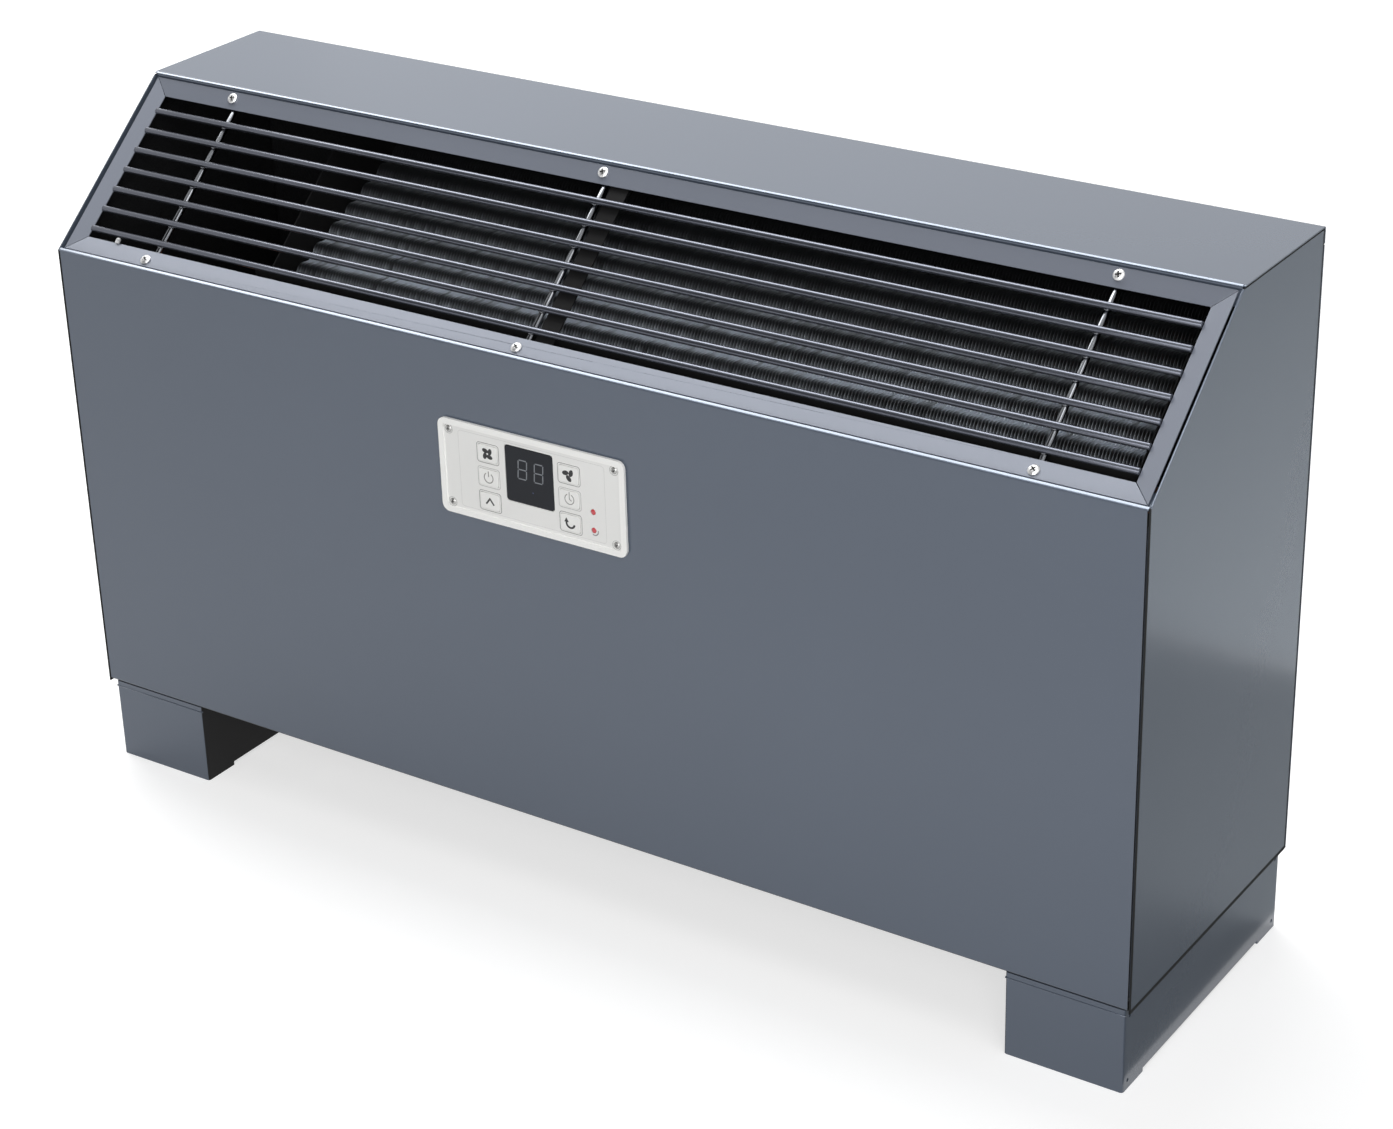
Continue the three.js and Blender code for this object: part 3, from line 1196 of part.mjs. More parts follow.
// ---------------------------------------------------------------- pipe bay
function buildPipeBay() {
  const stubX = LEFT_BULKHEAD - TUBE_STUB - SEAM;
  const fallX = stubX - PIPE_REACH;
  const places = tubePlaces();
  const supplyStub = onCoil(...places[places.length - 1]);
  const returnStub = onCoil(...places[0]);
  const endZ = BASE_Z + PIPE_END_HEIGHT;
  const fall = ([y, z], x) => [
    new THREE.Vector3(stubX, y, z),
    new THREE.Vector3(x, y, z),
    new THREE.Vector3(x, y, endZ),
  ];
  const radius = PIPE_DIAMETER / 2;
  add("supply_pipe", bentTube(fall(supplyStub, fallX), radius, PIPE_BEND), copper);
  add("return_pipe", bentTube(fall(returnStub, fallX - PIPE_SPREAD), radius, PIPE_BEND), copper);

  const half = VALVE_BODY / 2;
  const z = BASE_Z + VALVE_HEIGHT;
  const [y] = supplyStub;
  const body = box(fallX - half, fallX + half, y - half, y + half, z - half, z + half);
  const actuator = bar(
    new THREE.Vector3(fallX, y + half - BEYOND, z),
    new THREE.Vector3(fallX, y + half + ACTUATOR_LENGTH, z),
    ACTUATOR_DIAMETER / 2,
    ACTUATOR_SIDES,
  );
  const bore = bar(
    new THREE.Vector3(fallX, y, z - VALVE_BODY),
    new THREE.Vector3(fallX, y, z + VALVE_BODY),
    radius + SEAM,
    PIPE_SIDES,
  );
  add("water_valve", cut(join(body, actuator), bore), brass);

  const { x: across, y: length, z: tall, wall, behindFront, aboveBase, gland } = TERMINAL_BOX;
  const x1 = LEFT_BULKHEAD - SEAM;
  const y0 = BACK_Y - behindFront - length;
  const z0 = BASE_Z + aboveBase;
  const casing = box(x1 - across, x1, y0, y0 + length, z0, z0 + tall);
  const room = box(
    x1 - across + wall,
    x1 - wall,
    y0 + wall,
    y0 + length - wall,
    z0 + wall,
    z0 + tall - wall,
  );
  const glandHole = bar(
    new THREE.Vector3(x1 - across / 2, y0 + length / 2, z0 - BEYOND),
    new THREE.Vector3(x1 - across / 2, y0 + length / 2, z0 + wall + BEYOND),
    gland,
  );
  add("terminal_box", cut(casing, room, glandHole), blackPlastic);
}

buildCasing();
buildOutlet();
buildControl();
buildFeet();
buildChassis();
buildCoil();
buildBlowers();
buildFilter();
buildPipeBay();

export default unit;
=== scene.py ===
"""Floor standing fan coil unit with a sloped outlet grille, for Blender 4.5.

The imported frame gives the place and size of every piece. This file gives the pieces their
finishes, models what shows closely, such as the grille's wires, the screws, the coil's fins
and the marks on the control panel, and sets the stage. Lengths are in metres. X runs to the
right as seen from the front, Y to the back and Z up from the floor.
"""

from math import atan2, cos, hypot, pi, radians, sin

import bmesh
import bpy
from bpy.props import FloatProperty, FloatVectorProperty, IntProperty, PointerProperty
from mathutils import Matrix, Vector


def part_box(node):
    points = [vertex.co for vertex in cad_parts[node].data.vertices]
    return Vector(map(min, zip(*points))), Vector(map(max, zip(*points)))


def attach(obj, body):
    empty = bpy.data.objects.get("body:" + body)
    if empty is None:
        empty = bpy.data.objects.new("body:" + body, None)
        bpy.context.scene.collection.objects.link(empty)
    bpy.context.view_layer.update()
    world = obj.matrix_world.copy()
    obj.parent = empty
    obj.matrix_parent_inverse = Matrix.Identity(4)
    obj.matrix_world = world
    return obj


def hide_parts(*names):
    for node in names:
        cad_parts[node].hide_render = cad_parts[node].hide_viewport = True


bl_info = {
    "name": "Floor Standing Fan Coil Unit",
    "version": (1, 0, 0),
    "blender": (4, 5, 0),
    "location": "View3D > Sidebar > Fan Coil",
    "description": "Finishes, details and stage for a fan coil unit with a sloped outlet",
    "category": "Object",
}

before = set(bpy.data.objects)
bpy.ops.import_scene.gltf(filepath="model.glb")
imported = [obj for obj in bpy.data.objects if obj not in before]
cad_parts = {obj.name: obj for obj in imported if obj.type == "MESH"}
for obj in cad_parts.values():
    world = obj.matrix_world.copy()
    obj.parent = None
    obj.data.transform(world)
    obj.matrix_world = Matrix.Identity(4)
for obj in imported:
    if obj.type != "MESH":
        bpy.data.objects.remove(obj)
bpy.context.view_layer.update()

MM = 0.001
BODY = "cabinet"
SIDES = ("left", "right")

# Casing, from the frame
FRONT_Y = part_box("front_panel")[0].y
BACK_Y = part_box("back_panel")[1].y
HALF_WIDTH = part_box("right_side_panel")[1].x
TOP_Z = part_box("top_panel")[1].z
SHEET = 1 * MM
SEAM = 0.3 * MM
FOAM = 3.4 * MM
LINING_GAP = 0.5 * MM

# Further from the middle than any end of the unit
PAST_ALL = 1.0

# An edge that turns by an angle between these two is a fold, and a sharper one is a cut edge
FOLD_ANGLES = (radians(30), radians(60))
SMOOTH_ANGLE = radians(38)

# The slope's own frame: X across, Y up the slope from the front bend, Z out of it
SLOPE_DEPTH = 123.5 * MM
SLOPE_RISE = 104 * MM
SLOPE = atan2(SLOPE_RISE, SLOPE_DEPTH)
SLOPE_LENGTH = hypot(SLOPE_DEPTH, SLOPE_RISE)
ON_SLOPE = Matrix.Translation((0, FRONT_Y, TOP_Z - SLOPE_RISE)) @ Matrix.Rotation(SLOPE, 4, "X")
RAIL_DISH = radians(9)
FRAME_MARGIN = 3.8 * MM
RAIL_WIDTH = 14 * MM
RAIL_RECESS = 1.2 * MM
FRAME_INNER = FRAME_MARGIN + RAIL_WIDTH * cos(RAIL_DISH)

# Grille
WIRE_RADIUS = 2.5 * MM
WIRE_PITCH = 17.55 * MM
WIRE_LEVEL = -3 * MM
WIRE_COUNT = 7
LOWEST_WIRE = FRAME_INNER + 7.3 * MM
CROSS_WIRE_RADIUS = 2.25 * MM
CROSS_WIRE_LEVEL = -6.95 * MM
CROSS_WIRE_PLACES = (84 * MM - HALF_WIDTH, -28 * MM, HALF_WIDTH - 84 * MM)
LIP_HOLD = 1.6 * MM

# Coil, in its own frame: Y up its tilted face, Z out of it
COIL_TILT = radians(25)
COIL_CENTRE = Vector((0, FRONT_Y + 129 * MM, TOP_Z - 119 * MM))
COIL_HALF_WIDTH = 95 * MM
COIL_HALF_DEPTH = 32.5 * MM
ON_COIL = Matrix.Translation(COIL_CENTRE) @ Matrix.Rotation(COIL_TILT, 4, "X")
TUBE_PITCH = 22 * MM

# Control panel: X across, Y up and Z out of the casing, from its centre
BEZEL_LOW, BEZEL_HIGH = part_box("control_bezel")
CONTROL_CENTRE = Vector(
    ((BEZEL_LOW.x + BEZEL_HIGH.x) / 2, FRONT_Y, (BEZEL_LOW.z + BEZEL_HIGH.z) / 2)
)
ON_CONTROL = Matrix.Translation(CONTROL_CENTRE) @ Matrix.Rotation(pi / 2, 4, "X")
FIELD_LEVEL = 1.7 * MM
RIM = 4.6 * MM
BUTTON_LEVEL = FIELD_LEVEL + 0.6 * MM
INK_LOW = -0.05 * MM
INK_HIGH = 0.06 * MM
LINE_HIGH = 0.04 * MM

# Screws: radius and height of the head, radius and length of the shank
GRILLE_SCREW = {"radius": 4 * MM, "height": 2.2 * MM, "shank": 1.9 * MM, "length": 9 * MM}
BEZEL_SCREW = {"radius": 2.5 * MM, "height": 1.3 * MM, "shank": 1.3 * MM, "length": 7 * MM}


def linear(red, green, blue):
    """The linear colour of an sRGB colour given as three numbers up to 255."""
    return tuple(
        c / 12.92 if c <= 0.04045 else ((c + 0.055) / 1.055) ** 2.4
        for c in (red / 255, green / 255, blue / 255)
    )


# ------------ settings
def colour(name, description, rgb):
    """A colour setting with its default in sRGB numbers up to 255."""
    return FloatVectorProperty(
        name=name, description=description, subtype="COLOR", min=0, max=1, default=linear(*rgb)
    )


def number(name, description, default, low=0, **options):
    """A setting that holds one number."""
    return FloatProperty(name=name, description=description, default=default, min=low, **options)


def measure(name, description, default, low=0):
    """A length setting in metres."""
    return number(name, description, default, low, precision=5, subtype="DISTANCE", unit="LENGTH")


def bearing(name, description, degrees):
    """An angle setting with its default in degrees."""
    return number(name, description, radians(degrees), -pi, subtype="ANGLE", unit="ROTATION")


def lamp_power(name, description, watts):
    """The power of a lamp."""
    return number(name, description, watts, subtype="POWER")


class CasingSettings(bpy.types.PropertyGroup):
    """Paint and edges of the casing."""

    paint: colour("Casing paint", "Powder coat of the panels and feet", (82, 91, 105))
    frame_paint: colour("Frame paint", "Powder coat of the outlet's rails", (114, 119, 130))
    paint_roughness: number("Paint roughness", "Dullness of the powder coat", 0.2, max=1)
    edge_radius: measure("Edge radius", "Rounding of the cut sheet edges", 0.35 * MM)
    fold_radius: measure("Fold radius", "Rounding of the folds along each face", 1.6 * MM)


class OutletSettings(bpy.types.PropertyGroup):
    """Wires, screws and fins of the outlet."""

    wire: colour("Wire", "Coating of the grille's wires", (88, 91, 100))
    screw: colour("Screw", "Plating of the screws", (214, 214, 214))
    fin: colour("Fin", "Coated aluminium of the coil's fins", (226, 233, 242))
    fin_pitch: measure("Fin pitch", "Distance between neighbouring fins", 2.5 * MM, 1 * MM)
    wire_sides: IntProperty(
        name="Wire sides", description="Facets round each wire", default=24, min=8, max=64
    )


class ControlSettings(bpy.types.PropertyGroup):
    """Colours of the control panel."""

    bezel: colour("Bezel", "Moulded surround and membrane", (238, 238, 236))
    window: colour("Window", "Smoked display window", (19, 23, 31))
    digits: colour("Digits", "Unlit segments behind the window", (132, 136, 142))
    icons: colour("Icons", "Ink of the button icons", (24, 24, 26))
    pale_icons: colour("Pale icons", "Ink of the middle icons", (136, 134, 132))
    lamps: colour("Lamps", "Red indicator lenses", (196, 40, 52))


class StageSettings(bpy.types.PropertyGroup):
    """Camera, lights and floor."""

    camera_place: FloatVectorProperty(
        name="Camera",
        description="Place of the camera",
        default=(1.2006, -1.7104, 1.2580),
        unit="LENGTH",
    )
    azimuth: bearing("Azimuth", "Turn of the camera to the right of the front", 34.27)
    elevation: bearing("Elevation", "Height of the camera's view over the level", 26.22)
    roll: bearing("Roll", "Turn of the camera about its view", -1.64)
    lens: number("Lens", "Focal length in millimetres", 82.445, 10)
    top_light: lamp_power("Top light", "Power of the softbox overhead", 74)
    rear_light: lamp_power("Rear light", "Power of the softbox at the back", 2)
    front_light: lamp_power("Front light", "Power of the softbox at the front", 60)
    right_light: lamp_power("Right light", "Power of the softbox on the right", 3)
    edge_light: lamp_power("Edge light", "Power of the softbox for the edges", 11)
    sky: number("Sky", "Light from all around", 0.2)
    floor: colour("Floor", "Pale floor", (194, 194, 194))
    floor_glow: number("Floor glow", "White that the floor shows besides its lit colour", 0.59)


SETTINGS = {
    "fan_coil_casing": CasingSettings,
    "fan_coil_outlet": OutletSettings,
    "fan_coil_control": ControlSettings,
    "fan_coil_stage": StageSettings,
}


# ------------ shader maths
class Signal:
    """An output socket. Arithmetic on it adds Math nodes, and node() adds any other node."""

    def __init__(self, tree, socket=None):
        self.tree = tree
        self.socket = socket

    def node(self, kind, settings=None, inputs=None, output=0):
        """Adds a node, sets its settings, then its inputs, and returns one of its outputs."""
        made = self.tree.nodes.new(kind)
        for name, value in (settings or {}).items():
            setattr(made, name, value)
        for name, value in (inputs or {}).items():
            if isinstance(value, Signal):
                self.tree.links.new(value.socket, made.inputs[name])
            else:
                made.inputs[name].default_value = value
        return None if output is None else Signal(self.tree, made.outputs[output])

    def maths(self, operation, first, second=0.0):
        return self.node("ShaderNodeMath", {"operation": operation}, {0: first, 1: second})

    def __add__(self, other):
        return self.maths("ADD", self, other)

    __radd__ = __add__

    def __sub__(self, other):
        return self.maths("SUBTRACT", self, other)

    def __rsub__(self, other):
        return self.maths("SUBTRACT", other, self)

    def __mul__(self, other):
        return self.maths("MULTIPLY", self, other)

    __rmul__ = __mul__

    def __gt__(self, other):
        return self.maths("GREATER_THAN", self, other)

    def __lt__(self, other):
        return self.maths("LESS_THAN", self, other)

    def __abs__(self):
        return self.maths("ABSOLUTE", self)

    def mixed(self, low, high):
        """A colour between two, with this signal as the share of the second."""
        inputs = {"Factor": self, 6: as_colour(low), 7: as_colour(high)}
        return self.node("ShaderNodeMix", {"data_type": "RGBA"}, inputs, output=2)

    def scaled(self, x, y, z):
        """A vector multiplied by another."""
        return self.node("ShaderNodeVectorMath", {"operation": "MULTIPLY"}, {0: self, 1: (x, y, z)})

    def axis(self, index):
        """One of a vector's three numbers."""
        return self.node("ShaderNodeSeparateXYZ", {}, {0: self}, output=index)

    def texture(self, kind, scale, settings=None, output=0):
        """One of Blender's textures over these coordinates."""
        inputs = {"Vector": self, "Scale": scale}
        return self.node(f"ShaderNodeTex{kind}", settings, inputs, output)

    def noise(self, scale, detail):
        """Noise over these coordinates."""
        inputs = {"Vector": self, "Scale": scale, "Detail": detail, "Roughness": 0.5}
        return self.node("ShaderNodeTexNoise", {}, inputs)

    def bump(self, height, distance):
        """A normal from a height signal."""
        return self.node("ShaderNodeBump", {}, {"Height": height, "Distance": distance, "Strength": 1})


def as_colour(value):
    return value if isinstance(value, Signal) else (*value, 1.0)


def shade(rgb, factor):
    """A linear colour made lighter or darker."""
    return tuple(min(c * factor, 1) for c in tuple(rgb)[:3])


def shades(rgb, low, high):
    """A darker and a lighter form of a linear colour."""
    return shade(rgb, low), shade(rgb, high)


def socket_name(word):
    return word.replace("_", " ").title().replace("Ior", "IOR")


def new_finish(name, **constants):
    """A material, its shader node and a signal that holds the object's coordinates."""
    made = bpy.data.materials.new(name)
    made.use_nodes = True
    tree = made.node_tree
    shader = tree.nodes["Principled BSDF"]
    for socket, value in constants.items():
        shader.inputs[socket_name(socket)].default_value = value
    place = Signal(tree).node("ShaderNodeTexCoord", output=3)
    return made, shader, place


def feed(shader, **signals):
    """Links signals to the shader's sockets."""
    for socket, signal in signals.items():
        signal.tree.links.new(signal.socket, shader.inputs[socket_name(socket)])


def vary(shader, pattern, pair, gloss):
    """Lets a pattern set the colour between a pair, and the roughness from its least upward.

    Gloss is the least roughness and what the full pattern adds to it.
    """
    least, added = gloss
    feed(shader, base_color=pattern.mixed(*pair), roughness=pattern * added + least)


def mottled(name, pair, noise, gloss, stretch=(1, 1, 1), grain=None, **constants):
    """A finish that varies by one noise, given as (scale, detail), over stretched coordinates.

    Grain is a bump, given as (scale, detail, depth).
    """
    made, shader, place = new_finish(name, **constants)
    vary(shader, place.scaled(*stretch).noise(*noise), pair, gloss)
    if grain:
        scale, detail, depth = grain
        feed(shader, normal=place.bump(place.noise(scale, detail), depth))
    return made


# ------------ finishes
def powder_coat(name, rgb, roughness, painted_inner_shade=None, joints=()):
    """Satin grey powder coat: fine orange peel, faint flakes and slow changes of tone.

    A near-black painted shade shows on the faces that point to the middle of the unit. Joints are
    the places, as (axis, start, end), where painted shade stands for the shadowed gap beside a
    panel's edge.
    """
    clear = 0.18
    made, shader, place = new_finish(
        name, metallic=0.25, specular_ior_level=0.5, coat_weight=clear, coat_roughness=0.12
    )
    slow = place.noise(4, 3)
    flakes = place.noise(900, 1)
    peel = place.noise(420, 2)
    tone = (slow * 0.8 + flakes * 0.2).mixed(*shades(rgb, 0.93, 1.07))
    gloss = slow * 0.06 + (roughness - 0.03)
    painted_shade_parts = []
    # Near-black painted shade on the faces that point inwards
    if painted_inner_shade:
        painted_shade_parts.append((inward_share(place), painted_inner_shade))
    # Painted shade in the gaps beside the panels' edges
    if joints:
        painted_shade_parts.append((gap_shade_share(place, joints), linear(10, 11, 13)))
    for share, dull in painted_shade_parts:
        tone = share.mixed(tone, dull)
        gloss = gloss + share * 0.6
        feed(shader, coat_weight=(1 - share) * clear)
    feed(shader, base_color=tone, roughness=gloss, normal=place.bump(peel, 0.01 * MM))
    return made


def gap_shade_share(place, joints):
    """One inside any of the stretches of painted gap shade, measured from the middle along X, and
    nought elsewhere.
    """
    total = 0
    for axis, start, end in joints:
        along = place.axis(axis)
        if axis == 0:
            along = abs(along)
        total = (along > start) * (along < end) + total
    return total


def inward_share(place):
    """One on the faces whose normal points to the middle of the unit, and nought elsewhere."""
    normal = place.node("ShaderNodeNewGeometry", output=1)
    return place.axis(0) * normal.axis(0) < -0.1


def edge_coat_painted_highlight(rgb):
    """Powder coat that has run together to a gloss on a rolled edge, given the panels' paint made
    lighter as a painted highlight.
    """
    made, shader, place = new_finish("edge_coat_painted_highlight", metallic=0.45, coat_roughness=0.1)
    slow = place.noise(14, 3)
    vary(shader, slow, shades(rgb, 0.9, 1.1), (0.14, 0.08))
    feed(shader, coat_weight=slow * 0.2 + 0.45)
    return made


def coated_wire(rgb):
    """Smooth dark coating on drawn wire, a little uneven along it."""
    pair = shades(rgb, 0.85, 1.15)
    return mottled("coated_wire", pair, (900, 3), (0.14, 0.1), (0.08, 1, 1), metallic=0.7)


def bright_wire():
    """Plated cross wire with drawing marks."""
    pair = linear(96, 98, 102), linear(132, 134, 138)
    return mottled("bright_wire", pair, (1500, 3), (0.12, 0.12), (1, 0.05, 0.05), metallic=1)


def zinc_plate(rgb):
    """Bright zinc on the screw heads."""
    pair = shades(rgb, 0.88, 1.1)
    grain = (2200, 2, 0.01 * MM)
    return mottled("zinc_plate", pair, (700, 3), (0.26, 0.14), grain=grain, metallic=0.75)


def dark_steel(name, rgb, roughness=0.55, metallic=0.4):
    """Dull dark steel with rolling marks along it. Where it is near black, it is painted shade inside
    the unit.
    """
    return mottled(
        name,
        shades(rgb, 0.75, 1.25),
        (320, 4),
        (roughness - 0.08, 0.15),
        (0.06, 1, 1),
        (260, 3, 0.04 * MM),
        metallic=metallic,
        specular_ior_level=0.2,
    )


def bare_metal(name, low, high, scale=260):
    """Copper, brass or steel with dull patches."""
    grain = (scale * 6, 2, 0.02 * MM)
    return mottled(name, (low, high), (scale, 4), (0.25, 0.25), grain=grain, metallic=0.95)


def galvanised_steel():
    """Zinc spangle: flat crystals of slightly different greys."""
    made, shader, place = new_finish("galvanised_steel", metallic=0.8)
    spangle = place.texture("Voronoi", 90, output=1)
    grey = spangle.node("ShaderNodeSeparateColor", {}, {0: spangle})
    vary(shader, grey, (linear(122, 126, 130), linear(166, 170, 174)), (0.34, 0.16))
    feed(shader, normal=place.bump(place.noise(300, 3), 0.03 * MM))
    return made


def fin_aluminium(rgb):
    """Coated aluminium, with painted light over the tubes, painted shade between them and painted
    shade that darkens it up the coil, where the casing's top shades it.
    """
    made, shader, place = new_finish("fin_aluminium", metallic=0.4)
    middle = COIL_CENTRE.y * cos(COIL_TILT) + COIL_CENTRE.z * sin(COIL_TILT)
    height = place.axis(1) * cos(COIL_TILT) + place.axis(2) * sin(COIL_TILT) - middle
    turns = height * (2 * pi / TUBE_PITCH)
    # Painted light over each tube, and painted shade in the hollows between the tubes
    crest = 0.5 - turns.maths("COSINE", turns) * 0.5
    each_fin = place.scaled(1, 0.02, 0.02).noise(620, 1)
    patches = place.scaled(0.4, 1, 1).noise(36, 4)
    # Painted shade: darker up the coil, where the casing's top shades the fins
    painted_shade_up_coil = 0.74 - height * (0.85 / COIL_HALF_WIDTH)
    tone = crest * (each_fin * 2.4 + patches * 1.6 - 0.8) * painted_shade_up_coil
    feed(
        shader,
        base_color=tone.mixed(shade(rgb, 0.035), rgb),
        roughness=patches * 0.2 + 0.35,
        normal=place.bump(place.noise(1400, 2), 0.05 * MM),
    )
    return made


def moulded_plastic(name, rgb, roughness=0.42, grain=0.03 * MM, field=None):
    """Plastic with a fine moulded texture, and a lighter tone outside its field, a painted highlight,
    if it has one.
    """
    made, shader, place = new_finish(name)
    texture = place.noise(1500, 3)
    tone = place.noise(18, 2).mixed(*shades(rgb, 0.965, 1.03))
    if field:
        # Painted highlight: the rim round the field takes a lighter tone
        tone = field(place).mixed(shade(rgb, 1.13), tone)
    gloss = texture * 0.12 + (roughness - 0.06)
    feed(shader, base_color=tone, roughness=gloss, normal=place.bump(texture, grain))
    return made


def membrane_field(place):
    """One on the control panel's membrane, and nought on the moulded rim round it."""
    half_width = (BEZEL_HIGH.x - BEZEL_LOW.x) / 2 - RIM
    half_height = (BEZEL_HIGH.z - BEZEL_LOW.z) / 2 - RIM
    across = abs(place.axis(0) - CONTROL_CENTRE.x)
    up = abs(place.axis(2) - CONTROL_CENTRE.z)
    return (across < half_width) * (up < half_height)


def smoked_window(rgb):
    """Dark gloss plastic with the faintest haze."""
    pair = shades(rgb, 0.85, 1.15)
    return mottled("smoked_window", pair, (60, 3), (0.1, 0.1), specular_ior_level=0.2)


def printed_ink(name, rgb):
    """Matt ink, a little uneven."""
    return mottled(name, shades(rgb, 0.8, 1.2), (2400, 2), (0.5, 0.1))


def red_lens(rgb):
    """Glossy red plastic."""
    pair = shades(rgb, 0.75, 1.25)
    return mottled("red_lens", pair, (900, 2), (0.15, 0.1), coat_weight=0.8, coat_roughness=0.08)


def circuit_board():
    """Green solder mask with paler tracks under it."""
    made, shader, place = new_finish("circuit_board")
    cells = place.texture("Brick", 140, output=1)
    vary(shader, cells, (linear(28, 84, 54), linear(52, 116, 78)), (0.4, 0.1))
    return made


def foam():
    """Black open foam."""
    made, shader, place = new_finish("black_foam", specular_ior_level=0.2)
    cells = place.texture("Voronoi", 520)
    vary(shader, cells, (linear(9, 9, 10), linear(22, 23, 25)), (0.85, 0.1))
    feed(shader, normal=place.bump(cells, 0.4 * MM))
    return made


def filter_mesh():
    """Dark plastic with a woven mesh across it."""
    made, shader, place = new_finish("filter_mesh")
    across = place.texture("Wave", 190, {"bands_direction": "X"}, output=1)
    along = place.texture("Wave", 190, {"bands_direction": "Y"}, output=1)
    weave = across * along
    vary(shader, weave, (linear(26, 27, 30), linear(72, 75, 80)), (0.65, 0.1))
    feed(shader, normal=place.bump(weave, 0.25 * MM))
    return made


# ------------ mesh helpers
def add_piece(name, bm, finishes, replaced=(), body=BODY):
    """Makes a piece from a bmesh, which it uses up, and lets it ride on a body."""
    bmesh.ops.recalc_face_normals(bm, faces=bm.faces)
    mesh = bpy.data.meshes.new(name)
    bm.to_mesh(mesh)
    bm.free()
    mesh.shade_smooth()
    mesh.set_sharp_from_angle(angle=SMOOTH_ANGLE)
    for finish in finishes if isinstance(finishes, list) else [finishes]:
        mesh.materials.append(finish)
    made = bpy.data.objects.new(name, mesh)
    bpy.context.scene.collection.objects.link(made)
    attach(made, body)
    if replaced:
        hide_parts(*replaced)


def circle(bm, place, radius, height, sides):
    """Adds the corners of a circle about Z, or one point if it has no radius."""
    angles = [2 * pi * i / sides for i in range(sides if radius else 1)]
    points = [(radius * cos(angle), radius * sin(angle), height) for angle in angles]
    return [bm.verts.new(place @ Vector(point)) for point in points]


def bridge(bm, low, high):
    """Adds the faces between two rings of corners. One of them may be a single point."""
    sides = max(len(low), len(high))
    faces = []
    for i in range(sides):
        j = (i + 1) % sides
        corners = [low[i % len(low)], low[j % len(low)], high[j % len(high)], high[i % len(high)]]
        faces.append(bm.faces.new(dict.fromkeys(corners)))
    return faces


def turned(bm, profile, place, sides=32):
    """Adds a closed body turned about Z, from (radius, height) points from axis to axis."""
    rings = [circle(bm, place, radius, height, sides) for radius, height in profile]
    for low, high in zip(rings, rings[1:]):
        bridge(bm, low, high)


def round_ended(radius, length, ease):
    """The profile of a cut wire with eased ends."""
    return [
        (0, 0),
        (radius - ease, 0),
        (radius - ease * 0.3, ease * 0.3),
        (radius, ease),
        (radius, length - ease),
        (radius - ease * 0.3, length - ease * 0.3),
        (radius - ease, length),
        (0, length),
    ]


def rounded_outline(width, height, radius, steps=6):
    """The corners of a rectangle with round corners, in order."""
    points = []
    for quarter, (across, up) in enumerate([(1, 1), (-1, 1), (-1, -1), (1, -1)]):
        x = across * (width / 2 - radius)
        y = up * (height / 2 - radius)
        for step in range(steps + 1):
            angle = (quarter + step / steps) * pi / 2
            points.append((x + radius * cos(angle), y + radius * sin(angle)))
    return points


def plate(bm, outline, place, low, high):
    """Adds a closed plate with that outline, between two levels."""
    bottom = [bm.verts.new(place @ Vector((x, y, low))) for x, y in outline]
    top = [bm.verts.new(place @ Vector((x, y, high))) for x, y in outline]
    bm.faces.new(bottom[::-1])
    bm.faces.new(top)
    bridge(bm, bottom, top)


def slab(bm, low, high, ease=1 * MM):
    """Adds a slab between two corners with eased edges."""
    centre = (Vector(low) + Vector(high)) / 2
    size = Vector(high) - Vector(low)
    place = Matrix.Translation(centre) @ Matrix.Diagonal((*size, 1))
    made = bmesh.ops.create_cube(bm, size=1, matrix=place)
    edges = {edge for vert in made["verts"] for edge in vert.link_edges}
    bmesh.ops.bevel(bm, geom=list(edges), offset=ease, segments=2, profile=0.5, affect="EDGES")


def ribbon(bm, points, width, place, low, high, closed=False):
    """Adds a closed strip of even width that follows points, between two levels."""
    sharpest = 0.4
    count = len(points)
    left = []
    right = []
    for i, point in enumerate(points):
        before = points[i - 1] if i > 0 or closed else point
        after = points[(i + 1) % count] if i < count - 1 or closed else point
        into = (Vector(point) - Vector(before)).normalized()
        out = (Vector(after) - Vector(point)).normalized()
        direction = (into + out).normalized()
        side = Vector((-direction.y, direction.x))
        lean = max(side.dot(Vector((-out.y, out.x))) if out.length else 1, sharpest)
        left.append(Vector(point) + side * width / 2 / lean)
        right.append(Vector(point) - side * width / 2 / lean)
    rows = [
        [bm.verts.new(place @ Vector((*p, level))) for p in line]
        for line, level in ((left, low), (left, high), (right, high), (right, low))
    ]
    for i in range(count if closed else count - 1):
        j = (i + 1) % count
        for a, b in ((0, 1), (1, 2), (2, 3), (3, 0)):
            bm.faces.new([rows[a][i], rows[a][j], rows[b][j], rows[b][i]])
    if not closed:
        bm.faces.new([row[0] for row in rows])
        bm.faces.new([row[-1] for row in rows])


